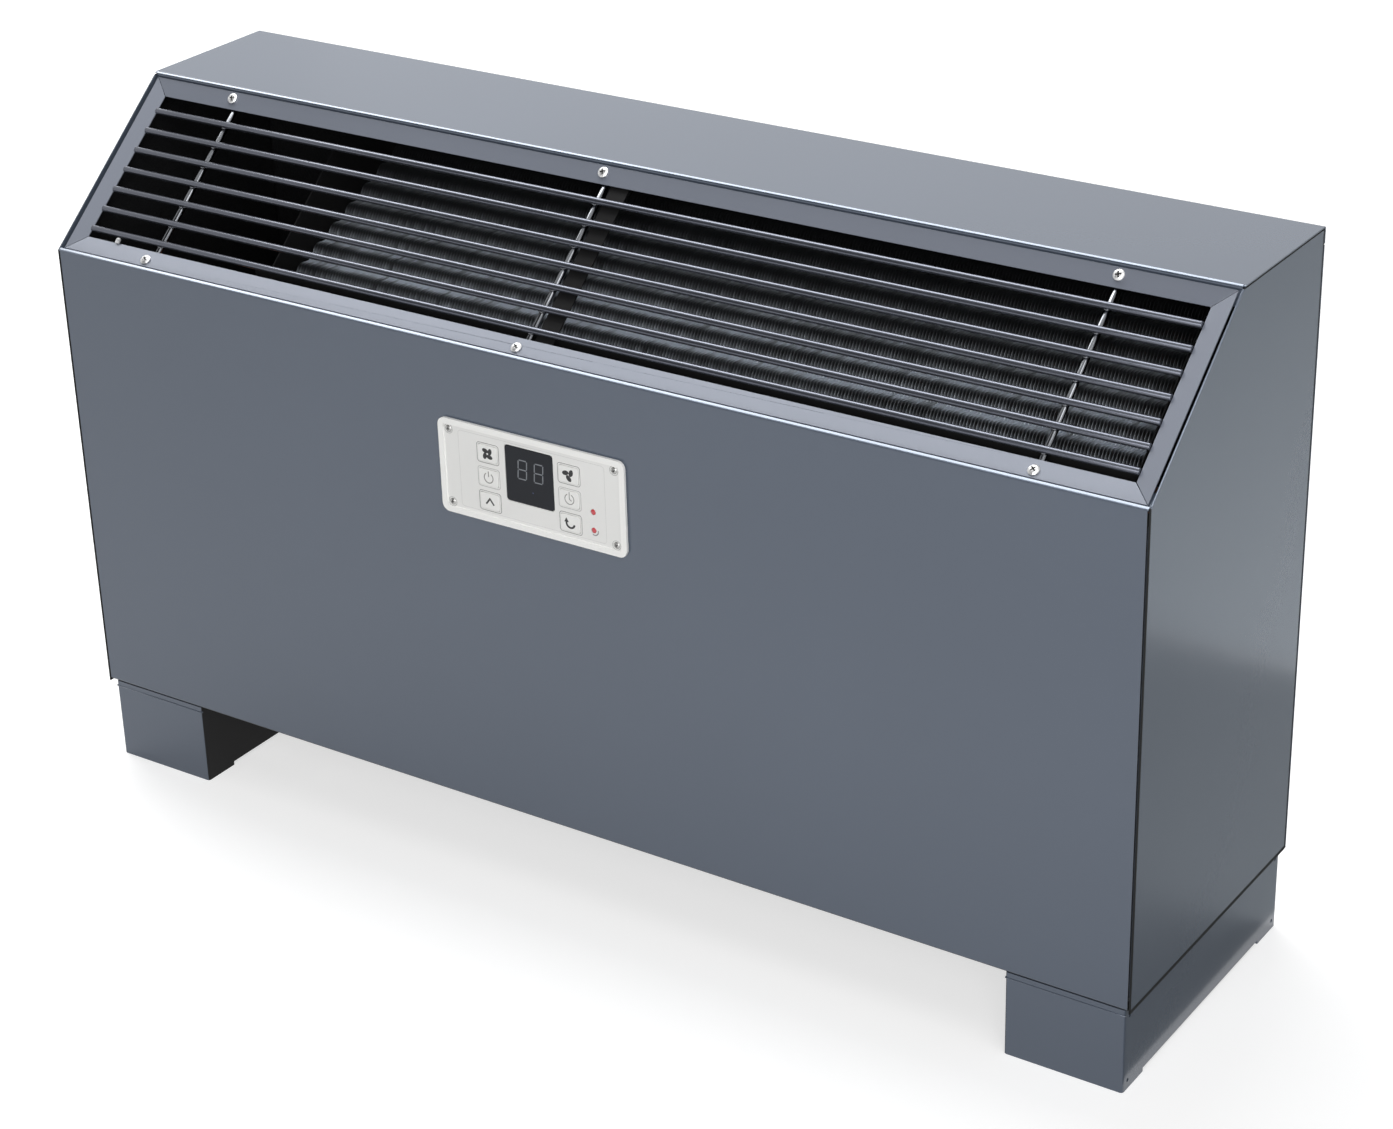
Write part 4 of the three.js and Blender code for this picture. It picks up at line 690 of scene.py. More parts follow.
def pan_head(bm, place, radius, height, shank, length):
    """Adds a pan head screw that stands on its place's level, with a cross recess whose faces take the
    second finish, a dark painted shade.
    """
    sides = 48
    rings = 15
    rim = 0.35
    arm = 0.15 * radius
    reach = 0.56 * radius
    soft = 0.07 * radius

    def recess(x, y):
        narrow = (arm - min(abs(x), abs(y))) / soft
        far = (reach - max(abs(x), abs(y))) / soft
        return max(0, min(narrow, far, 1))

    def spot(ring, turn):
        distance = radius * ring / rings
        angle = 2 * pi * turn / sides
        return distance * cos(angle), distance * sin(angle)

    def corner(ring, turn):
        x, y = spot(ring, turn)
        crown = height * (rim + (1 - rim) * (1 - (hypot(x, y) / radius) ** 3.2))
        return bm.verts.new(place @ Vector((x, y, crown - 0.55 * height * recess(x, y))))

    head = [[corner(ring, i) for i in range(sides)] for ring in range(1, rings + 1)]
    head.append(circle(bm, place, radius, 0, sides))
    for ring, (inner, outer) in enumerate(zip([[corner(0, 0)], *head], head)):
        for i, face in enumerate(bridge(bm, inner, outer)):
            if recess(*spot(ring + 0.5, i + 0.5)) > 0.4:
                face.material_index = 1
    neck = circle(bm, place, shank, 0, sides)
    tip = circle(bm, place, shank, -length, sides)
    bridge(bm, neck, head[-1])
    bridge(bm, tip, neck)
    bm.faces.new(tip)


def washer(bm, place, inner, outer, height, sides=40):
    """Adds a thin ring with an eased top."""
    ease = height / 3
    section = [(inner, 0), (inner, height), (outer - ease, height), (outer, height - ease), (outer, 0)]
    rings = [circle(bm, place, radius, level, sides) for radius, level in section]
    for near, far in zip(rings, rings[1:] + rings[:1]):
        bridge(bm, near, far)


def edge_group(name, build, numbers=()):
    """A geometry node group, made once, with one input more for each of the numbers."""
    if name in bpy.data.node_groups:
        return bpy.data.node_groups[name]
    tree = bpy.data.node_groups.new(name, "GeometryNodeTree")
    tree.interface.new_socket("Geometry", in_out="INPUT", socket_type="NodeSocketGeometry")
    for word in numbers:
        tree.interface.new_socket(word, in_out="INPUT", socket_type="NodeSocketFloat")
    tree.interface.new_socket("Geometry", in_out="OUTPUT", socket_type="NodeSocketGeometry")
    made = build(Signal(tree).node("NodeGroupInput"))
    made.node("NodeGroupOutput", {}, {0: made}, output=None)
    return tree


def shade_by_angle(start):
    """Shades smooth where neighbouring faces meet at a small angle."""
    bare = start.node("GeometryNodeRemoveAttribute", {}, {"Geometry": start, "Name": "custom_normal"})
    angle = start.node("GeometryNodeInputMeshEdgeAngle")
    flat = bare.node("GeometryNodeSetShadeSmooth", {"domain": "FACE"}, {0: bare, 2: True})
    inputs = {0: flat, 2: angle < SMOOTH_ANGLE}
    return flat.node("GeometryNodeSetShadeSmooth", {"domain": "EDGE"}, inputs)


def weigh_for_bevel(start):
    """Weighs folds fully and cut edges by the group's share."""
    share = Signal(start.tree, start.socket.node.outputs["Cut edges"])
    angle = start.node("GeometryNodeInputMeshEdgeAngle")
    low, high = FOLD_ANGLES
    weight = (angle > low) * (angle < high) + (angle > high) * share
    settings = {"data_type": "FLOAT", "domain": "EDGE"}
    inputs = {"Geometry": start, "Name": "bevel_weight_edge", "Value": weight}
    return start.node("GeometryNodeStoreNamedAttribute", settings, inputs)


def soften(finish, *names, edge=0.0, fold=0.0):
    """Gives CAD nodes a finish, rounds their folds and cut edges and smooths curved faces."""
    for name in names:
        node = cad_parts[name]
        for material_slot in node.material_slots:
            material_slot.link = "OBJECT"
            material_slot.material = finish
        weld = node.modifiers.new("weld", "WELD")
        weld.merge_threshold = 0.01 * MM
        flat = node.modifiers.new("join_flat_faces", "DECIMATE")
        flat.decimate_type = "DISSOLVE"
        flat.angle_limit = radians(0.5)
        if fold:
            weigh = node.modifiers.new("weigh_edges", "NODES")
            weigh.node_group = edge_group("weigh_edges", weigh_for_bevel, ["Cut edges"])
            weigh["Socket_1"] = edge / fold
        if edge:
            bevel = node.modifiers.new("round_edges", "BEVEL")
            bevel.width = max(edge, fold)
            bevel.segments = 3 if fold else 2
            bevel.limit_method = "WEIGHT" if fold else "ANGLE"
            bevel.angle_limit = radians(50)
            bevel.use_clamp_overlap = True
            bevel.miter_outer = "MITER_ARC"
        shading = node.modifiers.new("shade_smooth", "NODES")
        shading.node_group = edge_group("shade_smooth_by_angle", shade_by_angle)
        weights = node.modifiers.new("weigh_normals", "WEIGHTED_NORMAL")
        weights.keep_sharp = True


# ------------ casing
class BuildCasing(bpy.types.Operator):
    """Paint the panels and feet, round their edges and line the casing with foam"""

    bl_idname = "fan_coil.casing"
    bl_label = "Casing and feet"

    def execute(self, context):
        settings = context.scene.fan_coil_casing
        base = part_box("front_panel")[0].z
        # Stretches of painted shade for the shadowed gaps at the panels' edges
        front_gap_shade = [(0, HALF_WIDTH - 2.1 * MM, PAST_ALL), (2, 0, base + 1 * MM)]
        side_gap_shade = [
            (1, -PAST_ALL, FRONT_Y + 1.3 * MM),
            (1, BACK_Y - 3.4 * MM, PAST_ALL),
            (2, TOP_Z - 2.2 * MM, PAST_ALL),
            (2, 0, base + 1.3 * MM),
        ]
        coats = {
            "casing_paint": ((), ("top_panel", "back_panel")),
            "front_paint": (front_gap_shade, ("front_panel",)),
            "side_paint": (side_gap_shade, ("left_side_panel", "right_side_panel")),
        }
        for name, (joints, panels) in coats.items():
            coat = powder_coat(name, settings.paint, settings.paint_roughness, joints=joints)
            soften(coat, *panels, edge=settings.edge_radius, fold=settings.fold_radius)
        # The feet's inward faces get a near-black painted shade
        feet_coat_with_shade = powder_coat("foot_paint", settings.paint, settings.paint_roughness, linear(6, 6, 7))
        soften(feet_coat_with_shade, "left_foot", "right_foot", edge=settings.edge_radius * 1.4)
        screws = [f"foot_screw_{side}_{end}" for side in SIDES for end in ("front", "rear")]
        soften(zinc_plate(linear(200, 200, 200)), *screws)
        roll_edges(settings)
        line_casing()
        return {"FINISHED"}


def roll_edges(settings):
    """The rolled edges round the outlet and along the feet, which catch the light, in paint made
    lighter as a painted highlight.
    """
    # Painted highlight: the panels' paint made a tenth lighter
    gloss = edge_coat_painted_highlight(shade(settings.paint, 1.1))
    reach = HALF_WIDTH - SHEET - 0.4 * MM
    front_bend = Vector((0, FRONT_Y + 1 * MM, TOP_Z - SLOPE_RISE + 0.72 * MM))
    roll(gloss, "front_rolled_edge", front_bend, reach, (1.8 * MM, 0.42 * MM), radians(24))
    top_bend = Vector((0, FRONT_Y + SLOPE_DEPTH - 0.2 * MM, TOP_Z - 0.3 * MM))
    roll(gloss, "top_rolled_edge", top_bend, reach, (1.7 * MM, 0.42 * MM), radians(16))
    radius = 0.62 * MM
    flatness = 0.3
    ends = 3 * MM
    for side, where in zip((-1, 1), SIDES):
        start = (
            ON_SLOPE
            @ Matrix.Translation((side * (HALF_WIDTH - 0.55 * MM), ends, 0.02 * MM))
            @ Matrix.Rotation(side * radians(30), 4, "Y")
            @ Matrix.Diagonal((1, 1, flatness, 1))
            @ Matrix.Rotation(-pi / 2, 4, "X")
        )
        bm = bmesh.new()
        turned(bm, round_ended(radius, SLOPE_LENGTH - 2 * ends, 0.3 * MM), start)
        add_piece(f"{where}_rolled_edge", bm, gloss)
        low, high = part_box(f"{where}_foot")
        middle = Vector(((low.x + high.x) / 2, low.y + 0.4 * MM, high.z - 4.2 * MM))
        half = (high.x - low.x) / 2
        roll(gloss, f"{where}_foot_edge", middle, half, (0.9 * MM, 0.6 * MM), radians(24))


def roll(finish, name, centre, reach, section, tilt):
    """A flattened round edge along X.

    Reach is half its length, and section is half its width and half its thickness. It leans
    by the tilt.
    """
    wide, thick = section
    start = (
        Matrix.Translation(centre)
        @ Matrix.Rotation(tilt, 4, "X")
        @ Matrix.Diagonal((1, 1, thick / wide, 1))
        @ Matrix.Translation((-reach, 0, 0))
        @ Matrix.Rotation(pi / 2, 4, "Y")
    )
    bm = bmesh.new()
    turned(bm, round_ended(wide, 2 * reach, 0.3 * MM), start)
    add_piece(name, bm, finish)


def line_casing():
    """Foam on the inner faces that show through the grille."""
    black = foam()
    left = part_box("left_bulkhead")[1].x + LINING_GAP
    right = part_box("right_bulkhead")[0].x - LINING_GAP
    bay_left = 5 * MM - HALF_WIDTH
    bay_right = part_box("left_bulkhead")[0].x - LINING_GAP
    deck_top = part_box("fan_deck")[1].z + LINING_GAP
    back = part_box("back_panel")[0].y - SEAM
    back_face = back - FOAM
    top = TOP_Z - SHEET - SEAM
    top_face = top - FOAM
    flange = HALF_WIDTH - 14 * MM - LINING_GAP
    crest = FRONT_Y + SLOPE_DEPTH + 16 * MM
    slabs = {
        "back_lining": ((left, back_face, deck_top), (right, back, top_face - SEAM)),
        "bay_lining": ((bay_left, back_face, deck_top), (bay_right, back, top_face - SEAM)),
        "top_lining": ((-flange, crest, top_face), (flange, back, top)),
    }
    for name, (low, high) in slabs.items():
        bm = bmesh.new()
        slab(bm, low, high)
        add_piece(name, bm, black)
    for side, where in zip((-1, 1), SIDES):
        bm = bmesh.new()
        side_lining(bm, side)
        add_piece(f"{where}_lining", bm, black)


def side_lining(bm, side):
    """A foam sheet inside a side panel, which follows the cabinet's outline."""
    inset = 5 * MM
    low_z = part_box("chassis_front_channel")[1].z + LINING_GAP
    front = FRONT_Y + inset
    bend_z = TOP_Z - SLOPE_RISE - inset / 2
    crest_y = FRONT_Y + SLOPE_DEPTH + inset / 2
    top_z = TOP_Z - 2 * inset
    outline = [
        (front, low_z),
        (BACK_Y - inset, low_z),
        (BACK_Y - inset, top_z),
        (crest_y, top_z),
        (front, bend_z - inset),
    ]
    outer = side * (HALF_WIDTH - SHEET - SEAM)
    turn = Matrix(((0, 0, -side, outer), (1, 0, 0, 0), (0, 1, 0, 0), (0, 0, 0, 1)))
    plate(bm, outline, turn, 0, FOAM)


# ------------ outlet
class BuildOutlet(bpy.types.Operator):
    """Paint the outlet's frame, draw the grille's wires and drive its screws"""

    bl_idname = "fan_coil.outlet"
    bl_label = "Outlet frame and grille"

    def execute(self, context):
        settings = context.scene.fan_coil_outlet
        casing = context.scene.fan_coil_casing
        paint = powder_coat("frame_paint", casing.frame_paint, casing.paint_roughness)
        rails = [f"frame_{side}_rail" for side in ("bottom", "top", *SIDES)]
        soften(paint, *rails, edge=casing.edge_radius * 0.6)
        # The strut holds the grille; its near-black colour is painted shade, the dark band beside the
        # middle cross wire
        soften(dark_steel("strut_steel", linear(9, 9, 10), 0.8, 0), "outlet_strut")
        build_wires(settings)
        zinc = zinc_plate(settings.screw)
        # Painted shade: the cross recesses take a near-black ink
        recess = printed_ink("screw_recess_shade", linear(26, 26, 28))
        for x_place, where in zip(CROSS_WIRE_PLACES, ("left", "middle", "right")):
            for upper in (False, True):
                build_grille_screw(x_place, where, upper, zinc, recess)
        build_clip()
        return {"FINISHED"}


def build_wires(settings):
    """Seven long wires and the three cross wires that they are welded to."""
    reach = HALF_WIDTH - FRAME_INNER - SEAM
    ease = 0.5 * MM
    across = Matrix.Rotation(pi / 2, 4, "Y")
    up = Matrix.Rotation(-pi / 2, 4, "X")
    bm = bmesh.new()
    heights = [LOWEST_WIRE + i * WIRE_PITCH for i in range(WIRE_COUNT)]
    for height in heights:
        place = ON_SLOPE @ Matrix.Translation((-reach, height, WIRE_LEVEL)) @ across
        turned(bm, round_ended(WIRE_RADIUS, 2 * reach, ease), place, settings.wire_sides)
    add_piece("grille_long_wires", bm, coated_wire(settings.wire), ["outlet_grille"])
    bm = bmesh.new()
    start = FRAME_INNER - LIP_HOLD
    length = SLOPE_LENGTH - 2 * start
    for x in CROSS_WIRE_PLACES:
        place = ON_SLOPE @ Matrix.Translation((x, start, CROSS_WIRE_LEVEL)) @ up
        turned(bm, round_ended(CROSS_WIRE_RADIUS, length, ease), place, settings.wire_sides)
        for height in heights:
            weld_bead(bm, x, height)
    add_piece("grille_cross_wires", bm, bright_wire(), ["outlet_grille"])


def weld_bead(bm, x, height):
    """The small swelling where two wires are welded."""
    size = (3.1 * MM, 3.1 * MM, 1.5 * MM)
    level = (WIRE_LEVEL - WIRE_RADIUS + CROSS_WIRE_LEVEL + CROSS_WIRE_RADIUS) / 2
    place = ON_SLOPE @ Matrix.Translation((x, height, level)) @ Matrix.Diagonal((*size, 1))
    bmesh.ops.create_icosphere(bm, subdivisions=2, radius=1, matrix=place)


def build_grille_screw(wire_x, where, upper, zinc, recess):
    """One of the frame's screws, square to its dished rail."""
    beside_wire = 3 * MM
    from_edge = 5.5 * MM
    x = wire_x if where == "right" else wire_x - beside_wire
    up = FRAME_MARGIN + from_edge * cos(RAIL_DISH) + SEAM * sin(RAIL_DISH)
    level = -RAIL_RECESS - from_edge * sin(RAIL_DISH) + SEAM * cos(RAIL_DISH)
    place = (
        ON_SLOPE
        @ Matrix.Translation((x, SLOPE_LENGTH - up if upper else up, level))
        @ Matrix.Rotation(RAIL_DISH if upper else -RAIL_DISH, 4, "X")
        @ Matrix.Rotation(radians(18 if upper else 52), 4, "Z")
    )
    bm = bmesh.new()
    pan_head(bm, place, **GRILLE_SCREW)
    spot = f"{'upper' if upper else 'lower'}_{where}"
    add_piece(f"rail_screw_{spot}", bm, [zinc, recess], [f"grille_screw_{spot}"])


def build_clip():
    """The small pale clip at the left end of the lower rail."""
    x = 47 * MM - HALF_WIDTH
    up = FRAME_INNER + 1.6 * MM
    thickness = 1.4 * MM
    level = -RAIL_RECESS - RAIL_WIDTH * sin(RAIL_DISH) + 0.2 * MM
    bm = bmesh.new()
    place = ON_SLOPE @ Matrix.Translation((x, up, level))
    plate(bm, rounded_outline(3.4 * MM, 4.4 * MM, 1 * MM), place, 0, thickness)
    knob = Matrix.Translation((0.5 * MM, 0.8 * MM, thickness)) @ Matrix.Diagonal((1.2, 1.0, 0.9, 1))
    bmesh.ops.create_icosphere(bm, subdivisions=2, radius=1 * MM, matrix=place @ knob)
    add_piece("rail_clip", bm, moulded_plastic("clip_plastic", linear(176, 177, 178)))


# ------------ control panel
class BuildControl(bpy.types.Operator):
    """Finish the control panel: bezel, window with digits, buttons with icons, lamps and screws"""

    bl_idname = "fan_coil.control"
    bl_label = "Control panel"

    def execute(self, context):
        settings = context.scene.fan_coil_control
        bezel = settings.bezel
        white = moulded_plastic("bezel_plastic", bezel, field=membrane_field)
        soften(white, "control_bezel", edge=0.5 * MM)
        soften(smoked_window(settings.window), "display_window", edge=0.15 * MM)
        soften(circuit_board(), "control_board")
        cap = moulded_plastic("button_plastic", shade(bezel, 1.05), 0.38, 0.015 * MM)
        ink = printed_ink("icon_ink", settings.icons)
        pale = printed_ink("pale_icon_ink", settings.pale_icons)
        line = printed_ink("button_line", shade(bezel, 0.2))
        pale_line = printed_ink("pale_button_line", shade(bezel, 0.5))
        for name, draw in BUTTON_ICONS.items():
            soften(cap, name, edge=0.35 * MM)
            build_icon(name, draw, pale if "middle" in name else ink)
            build_outline(name, pale_line if "middle" in name else line)
        build_digits(settings)
        build_membrane_line(printed_ink("membrane_line", shade(bezel, 0.72)))
        lens = red_lens(settings.lamps)
        build_lamp("upper", lens)
        build_lamp_mark()
        build_lamp("lower", lens)
        zinc = zinc_plate(linear(172, 172, 170))
        # Painted shade: near-black ink in the cross recesses, and a grey seat ring of painted shade
        # round each screw
        recess = printed_ink("bezel_screw_recess", linear(48, 48, 48))
        ring = printed_ink("screw_seat_shade", shade(bezel, 0.4))
        for across in SIDES:
            for up in ("lower", "upper"):
                build_bezel_screw(f"{up}_{across}", zinc, recess, ring)
        return {"FINISHED"}


def centre_of(node):
    """The centre of a CAD node in the control panel's own frame."""
    low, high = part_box(node)
    return ON_CONTROL.inverted() @ ((low + high) / 2)


def on_panel(x, y, level):
    """A place on the control panel, at a level over the casing's face."""
    return ON_CONTROL @ Matrix.Translation((x, y, level))


def line(bm, place, points, width, high=INK_HIGH):
    """Adds a printed line through points. They and its width are in millimetres."""
    ribbon(bm, [(x * MM, y * MM) for x, y in points], width * MM, place, INK_LOW, high)


def patch(bm, place, points):
    """Adds a printed patch with an outline in millimetres."""
    plate(bm, [(x * MM, y * MM) for x, y in points], place, INK_LOW, INK_HIGH)


def arc_points(radius, start, end, steps=20):
    """Points of an arc between two angles in degrees."""
    angles = [radians(start + (end - start) * i / steps) for i in range(steps + 1)]
    return [(radius * cos(angle), radius * sin(angle)) for angle in angles]


def draw_blades(bm, place, count, hub, turn):
    """Fan blades: rounded petals round a hub."""
    tip = 5.1
    sides = 18
    long_half = (tip - hub) / 2
    wide_half = long_half * 0.8
    for blade in range(count):
        middle = radians(turn) + 2 * pi * blade / count
        petal = []
        for i in range(sides):
            angle = 2 * pi * i / sides
            out = (tip + hub) / 2 + long_half * cos(angle)
            aside = wide_half * sin(angle) + 0.35 * long_half * cos(angle)
            x = out * cos(middle) - aside * sin(middle)
            y = out * sin(middle) + aside * cos(middle)
            petal.append((x, y))
        patch(bm, place, petal)


def draw_four_blades(bm, place):
    draw_blades(bm, place, 4, 0.5, 40)


def draw_three_blades(bm, place):
    draw_blades(bm, place, 3, 0.2, 35)


def draw_power(bm, place):
    line(bm, place, arc_points(3.8, 125, 415), 0.75)
    line(bm, place, [(0, 0.8), (0, 5)], 0.75)


def draw_timer(bm, place):
    line(bm, place, arc_points(3.8, 115, 425), 0.65)
    line(bm, place, [(0, 0), (0, 5.4)], 0.65)
    line(bm, place, [(0, 0), (1.9, -1)], 0.65)


def draw_chevron(bm, place):
    line(bm, place, [(-3.4, -2.2), (0, 2.2), (3.4, -2.2)], 1.3)


def draw_return(bm, place):
    line(bm, place, arc_points(3.4, 170, 350), 1.5)
    patch(bm, place, [(-1.4, 0.6), (-3.4, 3.9), (-5.2, 0.5)])


BUTTON_ICONS = {
    "button_upper_left": draw_four_blades,
    "button_middle_left": draw_power,
    "button_lower_left": draw_chevron,
    "button_upper_right": draw_three_blades,
    "button_middle_right": draw_timer,
    "button_lower_right": draw_return,
}


def build_icon(button, draw, ink):
    """A generic icon printed on a button's cap, which moves with it."""
    centre = centre_of(button)
    bm = bmesh.new()
    draw(bm, on_panel(centre.x, centre.y, BUTTON_LEVEL))
    add_piece(f"{button}_icon", bm, ink, body=button)


def build_outline(button, finish):
    """The thin line round a button, pressed into the bezel's field."""
    centre = centre_of(button)
    low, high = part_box(button)
    beside = 0.3 * MM
    outline = rounded_outline(high.x - low.x + 2 * beside, high.z - low.z + 2 * beside, 2 * MM)
    place = on_panel(centre.x, centre.y, FIELD_LEVEL)
    bm = bmesh.new()
    ribbon(bm, outline, 0.4 * MM, place, INK_LOW, LINE_HIGH, closed=True)
    add_piece(f"{button}_outline", bm, finish)


def build_digits(settings):
    """Two dim seven-segment digits and a small pilot dot in the window."""
    window = centre_of("display_window")
    level = FIELD_LEVEL + 0.02 * MM
    half_width = 3.6
    half_height = 3.55
    lean = 0.06
    stroke = 0.75
    gap = 0.5
    bm = bmesh.new()
    for x in (-5.8 * MM, 8.0 * MM):
        place = on_panel(window.x + x, window.y + 4.6 * MM, level)
        for row in (-2, 0, 2):
            z = row * half_height
            ends = [(side * (half_width - gap) + lean * z, z) for side in (-1, 1)]
            line(bm, place, ends, stroke)
        for side in (-1, 1):
            for row in (-1, 1):
                heights = (row * gap, row * (2 * half_height - gap))
                ends = [(side * half_width + lean * z, z) for z in heights]
                line(bm, place, ends, stroke)
    add_piece("display_digits", bm, printed_ink("digit_grey", settings.digits))
    radius = 0.45 * MM
    profile = [(0, INK_LOW), (radius, INK_LOW), (radius, INK_HIGH), (0, INK_HIGH)]
    bm = bmesh.new()
    turned(bm, profile, on_panel(window.x + 2.5 * MM, window.y - 11 * MM, level), 16)
    add_piece("display_pilot_dot", bm, printed_ink("pilot_blue", linear(62, 78, 120)))


def build_membrane_line(finish):
    """The faint outline pressed into the panel's field."""
    bm = bmesh.new()
    outline = rounded_outline(124 * MM, 58 * MM, 2.5 * MM)
    ribbon(bm, outline, 0.22 * MM, on_panel(0, 0, FIELD_LEVEL), INK_LOW, LINE_HIGH, closed=True)
    add_piece("panel_outline", bm, finish)


def build_lamp(where, lens):
    """A domed red lens with a flange behind the panel."""
    node = f"indicator_lens_{where}"
    centre = centre_of(node)
    radius = 2 * MM
    dome = 0.5 * MM
    flange = 3 * MM
    flange_front = -1.3 * MM
    flange_back = flange_front - 1 * MM
    foot = FIELD_LEVEL - 0.1 * MM
    steps = 6
    profile = [(0, flange_back), (flange, flange_back), (flange, flange_front), (radius, flange_front)]
    for step in range(steps):
        angle = step / steps * pi / 2
        profile.append((radius * cos(angle), foot + dome * sin(angle)))
    profile.append((0, foot + dome))
    bm = bmesh.new()
    turned(bm, profile, on_panel(centre.x, centre.y, 0))
    add_piece(f"lamp_{where}", bm, lens, [node])


def build_lamp_mark():
    """The grey mark beside the lower lamp."""
    centre = centre_of("indicator_lens_lower")
    place = on_panel(centre.x + 0.6 * MM, centre.y - 0.4 * MM, FIELD_LEVEL)
    bm = bmesh.new()
    line(bm, place, arc_points(3.1, -120, 15), 0.8, LINE_HIGH)
    add_piece("lamp_mark", bm, printed_ink("lamp_mark_grey", linear(132, 132, 134)))


def build_bezel_screw(where, zinc, recess, ring):
    """A small screw sunk to the bezel's rim, each turned a little differently."""
    node = f"bezel_screw_{where}"
    centre = centre_of(node)
    spin = radians(20 + 25 * len(where))
    place = on_panel(centre.x, centre.y, FIELD_LEVEL - 0.5 * MM) @ Matrix.Rotation(spin, 4, "Z")
    bm = bmesh.new()
    pan_head(bm, place, **BEZEL_SCREW)
    add_piece(f"panel_screw_{where}", bm, [zinc, recess], [node])
    bm = bmesh.new()
    washer(bm, place, 3.3 * MM, 3.75 * MM, 0.56 * MM)
    add_piece(f"panel_washer_{where}", bm, ring)


# ------------ coil
class BuildCoil(bpy.types.Operator):
    """Stack the coil's fins and finish its tubes and pan"""

    bl_idname = "fan_coil.coil"
    bl_label = "Coil and drain pan"

    def execute(self, context):
        settings = context.scene.fan_coil_outlet
        aluminium = fin_aluminium(settings.fin)
        build_fins(settings, aluminium)
        build_front_strip(aluminium)
        copper = bare_metal("copper", linear(120, 66, 42), linear(190, 116, 78))
        soften(copper, "coil_tubes")
        soften(dark_steel("pan_steel", linear(46, 48, 50)), "drain_pan", edge=0.2 * MM)
        return {"FINISHED"}


def fin_outline():
    """A fin's outline, with long edges that swell over each tube."""
    wave = 5 * MM
    steps = 8
    count = round(2 * COIL_HALF_WIDTH / TUBE_PITCH * steps)
    points = []
    for i in range(count + 1):
        u = -COIL_HALF_WIDTH + 2 * COIL_HALF_WIDTH * i / count
        swell = wave * (1 - cos(2 * pi * u / TUBE_PITCH + pi)) / 2
        points.append((u, COIL_HALF_DEPTH - wave + swell))
    return points + [(u, -t) for u, t in reversed(points)]


def build_fins(settings, aluminium):
    """The stack of thin fins between the bulkheads."""
    low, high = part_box("coil_fins")
    thickness = 0.3 * MM
    count = int((high.x - low.x - thickness) / settings.fin_pitch)
    margin = ((high.x - low.x) - count * settings.fin_pitch - thickness) / 2
    outline = fin_outline()
    turn = ON_COIL @ Matrix(((0, 0, 1, 0), (1, 0, 0, 0), (0, 1, 0, 0), (0, 0, 0, 1)))
    bm = bmesh.new()
    for i in range(count + 1):
        x = low.x + margin + i * settings.fin_pitch
        plate(bm, outline, turn, x, x + thickness)
    add_piece("coil_fin_stack", bm, aluminium, ["coil_fins"])


def build_front_strip(aluminium):
    """A near-black strip of painted shade along the coil's front edge, with a row of small bright tabs
    on it.
    """
    low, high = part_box("coil_fins")
    edge = ON_COIL @ Vector((0, -COIL_HALF_WIDTH, COIL_HALF_DEPTH))
    back = edge.y - 1.2 * MM
    front = back - 0.8 * MM
    foot = edge.z - 26 * MM
    over_bulkhead = edge.z + 14 * MM
    crest = edge.z + 34.4 * MM
    end = HALF_WIDTH - FRAME_INNER - 1 * MM
    bm = bmesh.new()
    slab(bm, (low.x, front, foot), (high.x, back, over_bulkhead - SEAM), 0.2 * MM)
    slab(bm, (low.x, front, over_bulkhead), (end, back, crest), 0.2 * MM)
    add_piece("coil_front_strip", bm, dark_steel("strip_steel", linear(8, 8, 9), 0.8, 0))
    tab_foot = crest + SEAM
    tab_top = tab_foot + 0.9 * MM
    pitch = 6.3 * MM
    bm = bmesh.new()
    for i in range(int((end - low.x) / pitch)):
        x = low.x + i * pitch
        slab(bm, (x, front, tab_foot), (x + pitch * 0.7, back, tab_top), 0.15 * MM)
    add_piece("coil_strip_tabs", bm, aluminium)


# ------------ inside
class BuildInside(bpy.types.Operator):
    """Finish the chassis, blowers, filter and pipes"""

    bl_idname = "fan_coil.inside"
    bl_label = "Chassis, blowers and pipes"

    def execute(self, context):
        zinc = galvanised_steel()
        # Near-black painted shade: the bulkheads and fan deck stand in the shade inside the cabinet
        shadowed = dark_steel("bulkhead_steel", linear(7, 7, 8), 0.85, 0)
        wheel = moulded_plastic("wheel_plastic", linear(30, 31, 34), 0.5)
        steel = bare_metal("shaft_steel", linear(150, 152, 156), linear(200, 202, 206))
        copper = bare_metal("pipe_copper", linear(128, 70, 44), linear(196, 122, 82), 90)
        brass = bare_metal("valve_brass", linear(140, 108, 52), linear(198, 160, 92), 120)
        box = moulded_plastic("terminal_plastic", linear(32, 33, 36), 0.5)
        channels = ("chassis_front_channel", "chassis_rear_channel", "motor_cradle")
        soften(zinc, *channels, edge=0.2 * MM)
        soften(shadowed, "left_bulkhead", "right_bulkhead", "fan_deck")
        for side in SIDES:
            soften(zinc, f"blower_housing_{side}", f"filter_rail_{side}")
            soften(wheel, f"fan_wheel_{side}")
        soften(steel, "fan_shaft")
        soften(powder_coat("motor_paint", linear(42, 44, 48), 0.5), "fan_motor")
        soften(filter_mesh(), "air_filter", edge=0.4 * MM)
        soften(copper, "supply_pipe", "return_pipe")
        soften(brass, "water_valve", edge=0.4 * MM)
        soften(box, "terminal_box", edge=0.6 * MM)
        return {"FINISHED"}


